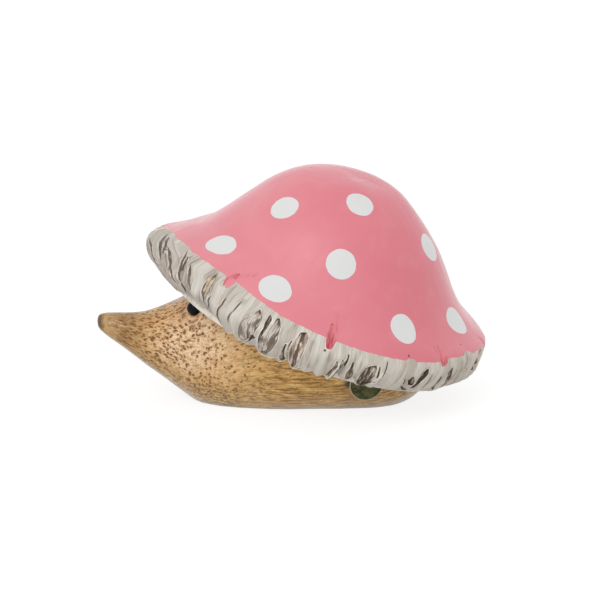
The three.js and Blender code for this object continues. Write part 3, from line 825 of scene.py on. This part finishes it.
# What the paint follows: the edge of the pink, the dots, the folds, the cuts and the strokes of the brush
points = read_points(cap)
turns, down = cap_places(points)
degrees = np.degrees(turns) % 360
line_turns = [
    0, 20, 45, 70, 95, 120, 140, 158, 167, 172, 178, 184.3, 188, 197, 203, 206, 210, 214, 217.5, 222, 227,
    228.7, 230.5, 232.6, 233.1, 233.6, 238, 246.5, 254, 262, 269, 285, 300, 301, 303.2, 304.2, 309, 315,
    320, 329, 330.5, 333, 336, 343, 360,
]
line_downs = [
    5.5, 5.6, 5.45, 5.6, 5.5, 5.9, 6.25, 6.55, 6.66, 6.4, 6.06, 5.82, 5.82, 5.55, 5.47, 5.52, 5.37, 5.42,
    5.31, 5.29, 5.25, 5.35, 5.6, 5.95, 5.7, 5.28, 5.33, 5.53, 5.7, 5.8, 5.87, 5.97, 5.92, 5.72, 5.7, 5.87,
    5.83, 5.68, 5.5, 5.38, 5.2, 5.2, 5.35, 5.36, 5.5,
]
store(cap, "above_line", np.interp(degrees, line_turns, line_downs) - down)

# Dots: turn, rows down, longer and shorter radius in mm, and the slant of the longer one from the turn
dots = [
    (267.5, 1.6, 5.2, 5.1, 0), (221.5, 2.63, 5.6, 4.85, 144), (340, 2.33, 6.0, 5.4, 10),
    (210.8, 4.13, 6.9, 4.6, 159), (268.5, 3.12, 5.6, 5.6, 0), (247.3, 4.45, 6.4, 5.4, 11),
    (341, 4.08, 7.6, 5.4, 15), (302, 4.28, 5.9, 5.5, 90), (85, 1.1, 5.4, 5.4, 0),
    (152, 2.15, 5.6, 5.2, 40), (56, 2.7, 5.8, 5.3, 20), (102, 2.9, 5.5, 5.4, 0), (16, 3.4, 5.9, 5.3, 160),
    (157, 3.75, 6.3, 5.2, 30), (46, 4.4, 5.7, 5.5, 90), (78, 4.4, 6.2, 5.3, 10), (124, 4.4, 5.8, 5.4, 0),
]
from_dot = np.full(len(points), 1e3)
for turn_degrees, dot_down, longer, shorter, slant in dots:
    dot_turn = math.radians(turn_degrees)
    tilt = math.radians(slant)
    centre = cap_skin(dot_turn, dot_down)
    facing = cap_facing(dot_turn, dot_down)
    around = cap_skin(dot_turn + 0.01, dot_down) - centre
    around /= np.linalg.norm(around)
    lower = np.cross(facing, around)
    lower *= np.sign(lower @ (cap_skin(dot_turn, dot_down + 0.05) - centre))
    away = (points - centre) / mm
    along, aside = away @ around, away @ lower
    long_way = along * math.cos(tilt) + aside * math.sin(tilt)
    short_way = aside * math.cos(tilt) - along * math.sin(tilt)
    reach = np.sqrt((long_way / longer) ** 2 + (short_way / shorter) ** 2 + (away @ facing / 12) ** 2)
    from_dot = np.minimum(from_dot, (reach - 1) * shorter)
store(cap, "from_dot", from_dot)
store(cap, "rows_down", down)
store(cap, "fold_height", fold_height(turns, down))


def gaps_to(place, start, end):
    """Distances from places to straight lines, and the share of each line at which it is nearest."""
    along = end - start
    share = ((place[:, None] - start) * along).sum(-1) / np.maximum((along**2).sum(-1), 1e-9)
    share = np.clip(share, 0, 1)
    return np.linalg.norm(place[:, None] - start - along * share[..., None], axis=-1), share


def is_inside(place, corners):
    """Whether each place lies within the outline."""
    ahead = np.roll(corners, -1, axis=0)
    x, y = place[:, 0, None], place[:, 1, None]
    spans = (corners[:, 1] > y) != (ahead[:, 1] > y)
    rise = np.where(ahead[:, 1] == corners[:, 1], 1e-9, ahead[:, 1] - corners[:, 1])
    crossing = corners[:, 0] + (y - corners[:, 1]) * (ahead[:, 0] - corners[:, 0]) / rise
    return (spans & (x < crossing)).sum(1) % 2 == 1


# For each place near a knife cut: how far it lies outside the cut, where it is across and along it, and how
# far from its deepest line. The cuts are spaced apart in the pattern, so that no two show the same marks
cut_spacing = 40
cut_reach = (22, 16)
shares = np.linspace(0, 1, 17)
half_way = len(shares) // 2
from_cut = np.full(len(points), 1e3)
across_cut = np.zeros(len(points))
along_cut = np.zeros(len(points))
from_keel = np.zeros(len(points))
for number, (_, keel, chords) in enumerate(knife_cuts):
    left, right = (side * in_mm for side in cut_sides(chords, shares))
    middle = (left + right) / 2
    turn_away = (degrees * turn_mm - middle[half_way, 0] + 180 * turn_mm) % (360 * turn_mm) - 180 * turn_mm
    here = np.stack([turn_away + middle[half_way, 0], down * row_mm], -1)
    near = np.flatnonzero((np.abs(here - middle[half_way]) < cut_reach).all(1))
    here = here[near]
    outline = np.vstack([left, right[::-1]])
    distance = gaps_to(here, outline, np.roll(outline, -1, axis=0))[0].min(1)
    distance[is_inside(here, outline)] *= -1
    axis = (middle[-1] - middle[0]) / np.linalg.norm(middle[-1] - middle[0])
    chord = right - left
    width = np.linalg.norm(chord, axis=1) + 1e-6
    away = here[:, None] - left
    place = (away * chord).sum(-1) / width**2
    off_chord = np.abs(away[..., 0] * chord[:, 1] - away[..., 1] * chord[:, 0]) / width
    nearest = (off_chord + np.maximum(np.maximum(-place, place - 1), 0) * width).argmin(1)
    side_share = place[np.arange(len(here)), nearest]
    nearer = distance < from_cut[near]
    chosen = near[nearer]
    from_cut[chosen] = distance[nearer]
    across_cut[chosen] = ((here - middle[0]) @ (-axis[1], axis[0]))[nearer] + cut_spacing * number
    along_cut[chosen] = ((here - middle[0]) @ axis)[nearer]
    from_keel[chosen] = np.abs(side_share - keel)[nearer] * np.minimum(width[nearest[nearer]] / 1.2, 2)
store(cap, "from_cut", from_cut)
store(cap, "across_cut", across_cut * mm)
store(cap, "along_cut", along_cut * mm)
store(cap, "from_keel", from_keel)

# For each place near a thin knife line: how far off it is in mm, and the same in half widths of the line,
# with a sign for its side
far_off = 9.0
unrolled = np.stack([degrees, down], -1) * in_mm
for name, lines in knife_lines.items():
    line_gap = np.full(len(points), far_off)
    line_side = np.full(len(points), far_off)
    for line in lines:
        spots = np.array(line) * in_mm
        near = np.flatnonzero(((unrolled > spots.min(0) - 3) & (unrolled < spots.max(0) + 3)).all(1))
        gaps, share = gaps_to(unrolled[near], spots[:-1], spots[1:])
        nearest = gaps.argmin(1)
        count = np.arange(len(near))
        ahead = (spots[1:] - spots[:-1])[nearest]
        away = unrolled[near] - spots[nearest]
        side = np.sign(ahead[:, 0] * away[:, 1] - ahead[:, 1] * away[:, 0])
        so_far = (nearest + share[count, nearest]) / (len(spots) - 1)
        half = line_width / 2 * np.interp(so_far, [0, 0.15, 0.85, 1], [0.4, 1, 1, 0.4])
        gap = gaps[count, nearest]
        nearer = gap < line_gap[near]
        line_gap[near[nearer]] = gap[nearer]
        line_side[near[nearer]] = (side * gap / half)[nearer]
    store(cap, name + "_gap", line_gap)
    store(cap, name + "_side", line_side)

# How far the soft strokes cover each place
for name, strokes in (("wash", wash_strokes), ("red", red_strokes)):
    covered = np.zeros(len(points))
    for stroke in strokes:
        stations = np.linspace(0, 1, len(stroke))
        spots = np.array([np.interp(shares, stations, column) for column in np.array(stroke).T]).T
        outside_by = np.linalg.norm(unrolled[:, None] - spots[:, :2] * in_mm, axis=-1) - spots[:, 2] / 2
        covered = np.maximum(covered, 1 - np.clip(outside_by.min(1) / 1.2 + 0.5, 0, 1))
    store(cap, name, covered)

# The brush was drawn along the folds
brush_turn = np.radians(leaned(turns, down))
store(cap, "brush_x", np.cos(brush_turn) * cap_radius)
store(cap, "brush_y", np.sin(brush_turn) * cap_radius)

# Crown: pink paint brushed from the top down, deeper to the rear, which is partly painted shade on the side
# away from the lamp, with white dots, a few dark specks and a painted pale sheen at its outline
brush_x, brush_y, rows_down = (paint.value(name) for name in ("brush_x", "brush_y", "rows_down"))
strokes = paint.vector(brush_x, brush_y, paint.times(rows_down, 0.0006))
fine_stroke = paint.noise(strokes, 1000.0, 3.0, 0.6)
wide_stroke = paint.noise(strokes, 300.0, 2.0)
blotch = paint.noise(paint.place(), 130.0, 3.0)
patchy = paint.band(paint.noise(paint.place(), 40.0, 2.0), 0.3, 0.7)
place_x = paint.node("SeparateXYZ", Vector=paint.place()).outputs["X"]
pink = paint.mix(patchy, srgb(231, 137, 147), srgb(226, 129, 140))
# Deeper pink to the rear: partly the paint, partly painted shade away from the lamp
pink = paint.coat(pink, (220, 114, 127), paint.band(place_x, -0.005, 0.05), 0.75)
pink = paint.coat(pink, (233, 150, 155), paint.band(blotch, 0.5, 0.75, 0.0, 0.25))
pink = paint.coat(pink, (206, 92, 106), paint.value("red"), paint.band(fine_stroke, 0.4, 0.55), 0.85)
dot_wobble = paint.times(paint.noise(paint.place(), 260.0, 1.0), 0.5)
in_dot = paint.band(paint.math("ADD", paint.value("from_dot"), dot_wobble), 0.31, 0.19)
crown = paint.coat(pink, (224, 224, 223), in_dot)
# Painted sheen: the pink turns pale where the skin turns away from the eye, as a reflection at grazing angles
crown = paint.coat(crown, (240, 212, 217), paint.grazing(0.68, 0.95), 0.34)
specks = 0.0
for speck_turn, speck_down in [(181.5, 1.51), (332.5, 1.55), (301.2, 5.57), (331.7, 4.82), (272, 6.62)]:
    speck_place = cap_frame @ Vector(cap_skin(math.radians(speck_turn), speck_down))
    specks = paint.math("MAXIMUM", specks, paint.band(paint.distance(speck_place), 0.0006, 0.0003))

# Rim: an off-white wash, brown in the creases and hair-thin brush marks, and pale on the lumps. The brown in
# the creases is partly painted shade, and the pale on the lumps is a painted highlight
crease = paint.band(paint.value("fold_height"), 0.22, 0.0)
lump_highlight = paint.band(paint.value("fold_height"), 0.45, 0.9)
rim = paint.mix(paint.band(wide_stroke, 0.35, 0.65), srgb(213, 206, 195), srgb(201, 193, 181))
dull = paint.times(paint.band(fine_stroke, 0.54, 0.74), paint.band(blotch, 0.4, 0.6, 0.1, 0.5))
rim = paint.coat(rim, (176, 162, 150), dull)
# Brown in the creases: partly wash, partly painted shade
rim = paint.coat(rim, (148, 132, 119), crease, paint.band(blotch, 0.4, 0.62), 0.7)
# Painted highlight on the tops of the lumps
rim = paint.coat(rim, (230, 226, 218), lump_highlight, paint.band(fine_stroke, 0.55, 0.4), 0.5)
hair = paint.noise(paint.vector(brush_x, brush_y, paint.times(rows_down, 0.0004)), 1900.0, 2.0, 0.6)
at_front = paint.band(place_x, -0.015, -0.045, 0.3, 1.0)
rim = paint.coat(rim, (186, 174, 163), paint.band(at_front, 0.4, 1.0, 0.0, 0.35))
dark_hair = paint.times(paint.band(hair, 0.54, 0.6), paint.band(wide_stroke, 0.4, 0.54))
rim = paint.coat(rim, (134, 116, 102), dark_hair, at_front, 0.75)
pale_hair = paint.times(paint.band(hair, 0.45, 0.39), paint.band(wide_stroke, 0.6, 0.48))
rim = paint.coat(rim, (232, 227, 219), pale_hair, 0.45)
washed = paint.times(paint.value("wash"), paint.band(fine_stroke, 0.3, 0.55, 0.35, 1.0))
washed_tone = paint.mix(paint.band(fine_stroke, 0.5, 0.62), srgb(180, 164, 149), srgb(132, 113, 99))
rim = paint.mix(paint.times(washed, 0.85), rim, washed_tone)

# Rim beside the cuts, along its lower edge and along the thin knife lines, with painted highlights on the
# lips of the cuts, on the lower edge and beside the lines
near_cut = paint.value("from_cut")
rim = paint.coat(rim, (156, 140, 128), paint.band(near_cut, 1.3, 0.2), paint.band(blotch, 0.42, 0.6), 0.45)
# Painted highlight on the raised lips of the cuts, broken into patches
cut_lip_highlight = paint.times(paint.band(near_cut, 0.0, 0.06), paint.band(near_cut, 0.45, 0.2))
cut_highlight_patches = paint.band(paint.noise(paint.place(), 300.0, 1.0), 0.42, 0.56)
rim = paint.coat(rim, (240, 234, 222), cut_lip_highlight, cut_highlight_patches, 0.8)
# Painted highlight along the thin lower edge of the rim
lower_edge_highlight = paint.band(rows_down, 8.72, 8.86, 0.0, 0.85)
rim = paint.coat(rim, (246, 240, 229), lower_edge_highlight, paint.band(blotch, 0.35, 0.55, 0.3, 1.0))
groove = 0.0
for name in knife_lines:
    line_side = paint.value(name + "_side")
    at_line = paint.band(paint.value(name + "_gap"), 0.9, 0.5)
    # Painted highlight on the ridge beside each knife line
    line_highlight = paint.times(paint.band(line_side, 1.2, 2.0), paint.band(line_side, 4.2, 2.6), at_line)
    rim = paint.coat(rim, (240, 233, 224), line_highlight, paint.band(blotch, 0.4, 0.55), 0.7)
    this_groove = paint.times(paint.band(paint.math("ABSOLUTE", line_side), 1.4, 0.8), at_line)
    groove = paint.math("MAXIMUM", groove, this_groove)
rim = paint.coat(rim, (96, 80, 68), groove, paint.band(blotch, 0.3, 0.5, 0.6, 0.95))

# The painted skin: crown above the line, rim below it, and the relief of brush, dots, edge and grooves
line_wobble = paint.times(paint.math("SUBTRACT", paint.noise(strokes, 420.0, 2.0), 0.5), 0.16)
above_line = paint.math("ADD", paint.value("above_line"), line_wobble)
on_crown = paint.band(above_line, -0.012, 0.012)
ripples = paint.vector(brush_x, brush_y, paint.times(rows_down, 0.008))
relief = paint.bump(paint.noise(ripples, 170.0, 2.0), 0.0006, 0.45)
relief = paint.bump(paint.noise(paint.place(), 900.0, 2.0), 0.0001, 0.25, relief)
relief = paint.bump(in_dot, 0.00012, 0.6, relief)
relief = paint.bump(on_crown, 0.0002, 0.6, relief)
relief = paint.bump(paint.math("SUBTRACT", 1.0, groove), 0.0005, 0.8, relief)
relief = paint.bump(paint.times(fine_stroke, paint.band(on_crown, 0, 1, 1.0, 0.04)), 0.0006, 0.7, relief)
skin_tone = paint.coat(paint.mix(on_crown, rim, crown), (108, 70, 66), specks)
paint.surface(
    Base_Color=skin_tone, Normal=relief, Roughness=paint.band(on_crown, 0, 1, 0.62, 0.4),
    Specular_IOR_Level=0.35, Coat_Weight=paint.times(on_crown, 0.45), Coat_Roughness=0.25,
)

# Insides of the cuts: a thin grey-brown wash that gathered in the knife marks, with pale wood between
cut_tones = {
    "grey": (srgb(218, 208, 198), srgb(190, 176, 164), srgb(116, 98, 85)),
    "brown": (srgb(216, 198, 180), srgb(164, 140, 121), srgb(98, 78, 63)),
    "dark": (srgb(168, 148, 128), srgb(106, 88, 71), srgb(64, 50, 38)),
    "pale": (srgb(234, 222, 202), srgb(212, 195, 172), srgb(146, 122, 102)),
    "pink": (srgb(226, 128, 138), srgb(210, 102, 114), srgb(182, 80, 92)),
}
for name, (light, mid, dark) in cut_tones.items():
    finish = cut_finishes[name]
    cut_across, cut_along, cut_gap = (finish.value(key) for key in ("across_cut", "along_cut", "from_cut"))
    cut_place = finish.vector(cut_across, finish.times(cut_along, 0.1), 0.0)
    mark = finish.noise(cut_place, 1500.0, 2.0, 0.6)
    dark_mark = finish.noise(finish.vector(cut_across, finish.times(cut_along, 0.12), 0.02), 1000.0, 2.0)
    wide_mark = finish.noise(cut_place, 520.0, 1.0)
    tone = finish.mix(finish.band(mark, 0.46, 0.54), light, mid)
    tone = finish.mix(finish.times(finish.band(dark_mark, 0.53, 0.6), 0.8), tone, dark)
    gathered = finish.math("ADD", finish.value("from_keel"), finish.band(wide_mark, 0.3, 0.7, 0.35, -0.35))
    tone = finish.mix(finish.times(finish.band(gathered, 0.6, 0.2), finish.band(mark, 0.4, 0.5)), tone, dark)
    if name == "pink":
        tone = finish.coat(tone, (229, 136, 145), finish.band(cut_along, 0.006, 0.001))
    else:
        bare = finish.times(finish.band(mark, 0.42, 0.36), finish.band(wide_mark, 0.4, 0.5))
        tone = finish.coat(tone, (230, 220, 205), bare, 0.9)
        edge = finish.band(cut_gap, -0.5, -0.1)
        tone = finish.mix(finish.times(edge, finish.band(wide_mark, 0.42, 0.52), 0.8), tone, dark)
    finish.surface(Base_Color=tone, Roughness=0.6, Normal=finish.bump(mark, 0.0006, 0.8))

cap.data.transform(cap_frame)
smooth(cap, 40)
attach(cap, "root")
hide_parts("toadstool_cap")

# Eyes. Black ball beads with a flat seat and a thin shank. Each is pushed into a drilled socket high on the
# cheek, close under the rim of the cap.
eye_radius = 2.6 * mm
eye_proud = 1 * mm
eye_seat = 0.5 * mm
shank_radius = 0.8 * mm
shank_length = 5 * mm
# Place in mm and facing, as in the solids
eye_places = {
    "eye_left": ((-35.092, -13.083, 36.563), (-0.5927, -0.4992, 0.632)),
    "eye_right": ((-35.092, 14.769, 36.563), (-0.5927, 0.4992, 0.632)),
}


def standing(place, facing):
    """A frame with its origin at a place in mm and its Z along the facing."""
    turn = Vector((0, 0, 1)).rotation_difference(Vector(facing)).to_matrix().to_4x4()
    return Matrix.Translation(Vector(place) * mm) @ turn


def turned_piece(name, profile, sides):
    """A piece as from a lathe, from rings of radius and height along Z, each extruded to the next."""
    start_piece()
    bpy.ops.mesh.primitive_circle_add(vertices=sides, radius=profile[0][0], fill_type="NGON")
    bpy.ops.object.mode_set(mode="EDIT")
    bpy.ops.mesh.select_all(action="SELECT")
    bpy.ops.transform.translate(value=(0, 0, profile[0][1]))
    for (last_radius, last_height), (radius, height) in zip(profile, profile[1:]):
        bpy.ops.mesh.extrude_region_move(TRANSFORM_OT_translate={"value": (0, 0, height - last_height)})
        size = radius / last_radius
        bpy.ops.transform.resize(value=(size, size, 1), center_override=(0, 0, height))
    turn_faces_out()
    return name_piece(name)


bead = Finish("polished_black_bead")
bead_dust = bead.noise(bead.place(), 2400.0, 2.0)
bead_material = bead.surface(
    Base_Color=bead.mix(bead.band(bead_dust, 0.5, 0.8), srgb(8, 10, 20), srgb(20, 24, 38)),
    Roughness=bead.band(bead_dust, 0.3, 0.7, 0.16, 0.3), Specular_IOR_Level=0.12,
)
seat_rise = -math.degrees(math.asin((eye_proud + eye_seat) / eye_radius))
ball_profile = [(eye_radius * math.cos(rise), eye_proud + eye_radius * math.sin(rise))
                for rise in np.radians(np.linspace(seat_rise, 89, 18))]
bead_profile = [
    (shank_radius * 0.8, -shank_length), (shank_radius, -shank_length * 0.95), (shank_radius, -eye_seat),
    *ball_profile,
]
first_bead = turned_piece("bead", bead_profile, 40)
first_bead.data.materials.append(bead_material)
for node, (place, facing) in eye_places.items():
    eye = copy_of(first_bead, node + "_bead")
    socket = standing(place, facing)
    eye.data.transform(socket)
    smooth(eye, 40)
    drill(root, socket, math.sqrt(eye_radius**2 - eye_proud**2) + glue_gap, eye_seat + glue_gap)
    drill(root, socket, shank_radius + glue_gap, shank_length + glue_gap)
    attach(eye, "root")
    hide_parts(node)
bpy.data.objects.remove(first_bead)

# Metal button. A plain domed stud of aged brass with a rolled edge and a bare face. Its prong is pressed into
# the left flank, in a shallow pocket that leaves a narrow shadow round it.
button_radius = 6.3 * mm
button_thickness = 0.8 * mm
button_dome = 0.5 * mm
button_seat = 0.8 * mm
prong_radius = 0.7 * mm
prong_length = 6 * mm
pocket_margin = 0.5 * mm
# Place in mm and facing, as in the solids
button_place = standing((27.708, -30.492, 12.518), (0.1945, -0.962, -0.1917))
button_profile = [
    (prong_radius * 0.2, -prong_length), (prong_radius, -prong_length + 1 * mm), (prong_radius, 0),
    (button_radius * 0.97, 0), (button_radius, 0.15 * mm), (button_radius, button_thickness * 0.7),
    (button_radius * 0.98, button_thickness * 0.92), (button_radius * 0.95, button_thickness),
    (button_radius * 0.91, button_thickness * 0.94), (button_radius * 0.88, button_thickness * 0.9),
    (button_radius * 0.84, button_thickness + button_dome * 0.05),
    (button_radius * 0.66, button_thickness + button_dome * 0.45),
    (button_radius * 0.4, button_thickness + button_dome * 0.8),
    (button_radius * 0.15, button_thickness + button_dome),
    (button_radius * 0.01, button_thickness + button_dome),
]
button = turned_piece("aged_brass_button", button_profile, 64)
brass = Finish("aged_brass")
tarnish = brass.noise(brass.place(), 420.0, 4.0, 0.6)
brass_tone = brass.mix(brass.band(tarnish, 0.35, 0.65), srgb(84, 84, 54), srgb(50, 50, 28))
brass_tone = brass.coat(brass_tone, (112, 104, 70), brass.band(tarnish, 0.6, 0.75, 0.0, 0.6))
# Paler on the rolled edge: partly rubbed brass, partly a painted highlight
brass_tone = brass.coat(brass_tone, (176, 170, 146), brass.band(brass.value("from_middle"), 0.94, 0.97))
button.data.materials.append(brass.surface(
    Base_Color=brass_tone, Metallic=0.85, Roughness=brass.band(tarnish, 0.3, 0.7, 0.32, 0.5),
    Normal=brass.bump(tarnish, 0.0002, 0.3),
))
face = read_points(button)
store(button, "from_middle", np.hypot(face[:, 0], face[:, 1]) / button_radius)
button.data.transform(button_place @ Matrix.Translation((0, 0, glue_gap - button_seat)))
smooth(button, 40)
drill(root, button_place, button_radius + pocket_margin, button_seat)
drill(root, button_place, prong_radius + glue_gap, button_seat + prong_length)
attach(button, "root")
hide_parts("metal_button")

# Dowels. Two plain turned pegs with chamfered ends, glued across the joint between the root and the cap.
# They are hidden in the finished figurine.
dowel_radius = 4 * mm
dowel_half_length = 11 * mm
dowel_chamfer = 0.6 * mm
dowel_places = {"dowel_front": -11 * mm, "dowel_rear": 23 * mm}
dowel_profile = [
    (dowel_radius - dowel_chamfer, -dowel_half_length), (dowel_radius, dowel_chamfer - dowel_half_length),
    (dowel_radius, dowel_half_length - dowel_chamfer), (dowel_radius - dowel_chamfer, dowel_half_length),
]
peg = Finish("turned_dowel_wood")
peg_grain = peg.noise(peg.place((1, 1, 0.08)), 900.0, 3.0)
peg_material = peg.surface(
    Base_Color=peg.mix(peg.band(peg_grain, 0.35, 0.65), srgb(214, 184, 140), srgb(186, 150, 104)),
    Roughness=0.65, Normal=peg.bump(peg_grain, 0.0002, 0.4),
)
first_dowel = turned_piece("dowel", dowel_profile, 48)
first_dowel.data.materials.append(peg_material)
for node, along_cap in dowel_places.items():
    dowel = copy_of(first_dowel, node + "_peg")
    across_joint = cap_frame @ Matrix.Translation((along_cap, 0, hollow_depth))
    dowel.data.transform(across_joint)
    smooth(dowel, 30)
    hole_depth = dowel_half_length + glue_gap
    drill(root, across_joint, dowel_radius + glue_gap, hole_depth)
    drill(cap, across_joint @ Matrix.Rotation(math.pi, 4, "X"), dowel_radius + glue_gap, hole_depth)
    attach(dowel, "root")
    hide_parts(node)
bpy.data.objects.remove(first_dowel)
smooth(root, 35)

# Studio. A white floor that keeps a light shadow, a plain even surround and one soft lamp near the camera.
surround_light = 0.58
floor_brightness = 0.84
start_piece()
bpy.ops.mesh.primitive_plane_add(size=30)
floor = name_piece("floor")
ground = Finish("white_floor")
rays = ground.node("LightPath").outputs
seen = ground.math("MAXIMUM", rays["Is Camera Ray"],
                   ground.math("MAXIMUM", rays["Is Glossy Ray"], rays["Is Transmission Ray"]))
floor.data.materials.append(ground.surface(
    Base_Color=ground.mix(seen, (0.8, 0.8, 0.8, 1), (0.24, 0.24, 0.24, 1)), Roughness=1.0,
    Specular_IOR_Level=0.0, Emission_Color=(1, 1, 1, 1),
    Emission_Strength=ground.times(seen, floor_brightness),
))

world = bpy.data.worlds.new("studio")
bpy.context.scene.world = world
world.use_nodes = True
background = world.node_tree.nodes["Background"]
background.inputs["Color"].default_value = (1, 1, 1, 1)
paths = world.node_tree.nodes.new("ShaderNodeLightPath").outputs
strength = world.node_tree.nodes.new("ShaderNodeMapRange")
strength.inputs["To Min"].default_value = surround_light
link = world.node_tree.links.new
for name in ("Is Camera Ray", "Is Glossy Ray", "Is Transmission Ray"):
    gather = world.node_tree.nodes.new("ShaderNodeMath")
    gather.operation = "MAXIMUM"
    link(paths[name], gather.inputs[0])
    if strength.inputs["Value"].is_linked:
        link(strength.inputs["Value"].links[0].from_socket, gather.inputs[1])
    link(gather.outputs[0], strength.inputs["Value"])
link(strength.outputs["Result"], background.inputs["Strength"])


def soft_lamp(name, place, size, power):
    bpy.ops.object.light_add(type="AREA", location=place)
    lamp = bpy.context.object
    lamp.name = name
    lamp.data.size = size
    lamp.data.energy = power
    lamp.rotation_mode = "QUATERNION"
    lamp.rotation_quaternion = (-Vector(place)).to_track_quat("-Z", "Y")


soft_lamp("key", (-0.4, -1.1, 0.9), 0.6, 4.7)

# Camera at the photograph's angle: square to the left flank and 13 degrees above it
camera_distance = 0.9
elevation = math.radians(13)
aim = Vector((0, 0, 36.9 * mm)) + shift
back = Vector((0, -math.cos(elevation), math.sin(elevation)))
bpy.ops.object.camera_add(location=aim + back * camera_distance)
camera = bpy.context.object
camera.rotation_mode = "QUATERNION"
camera.rotation_quaternion = (-back).to_track_quat("-Z", "Y")
camera.data.sensor_width = 36
camera.data.lens = 144
camera.data.clip_start = 0.01
camera.data.clip_end = 50
bpy.context.scene.camera = camera
bpy.context.scene.view_settings.view_transform = "Standard"
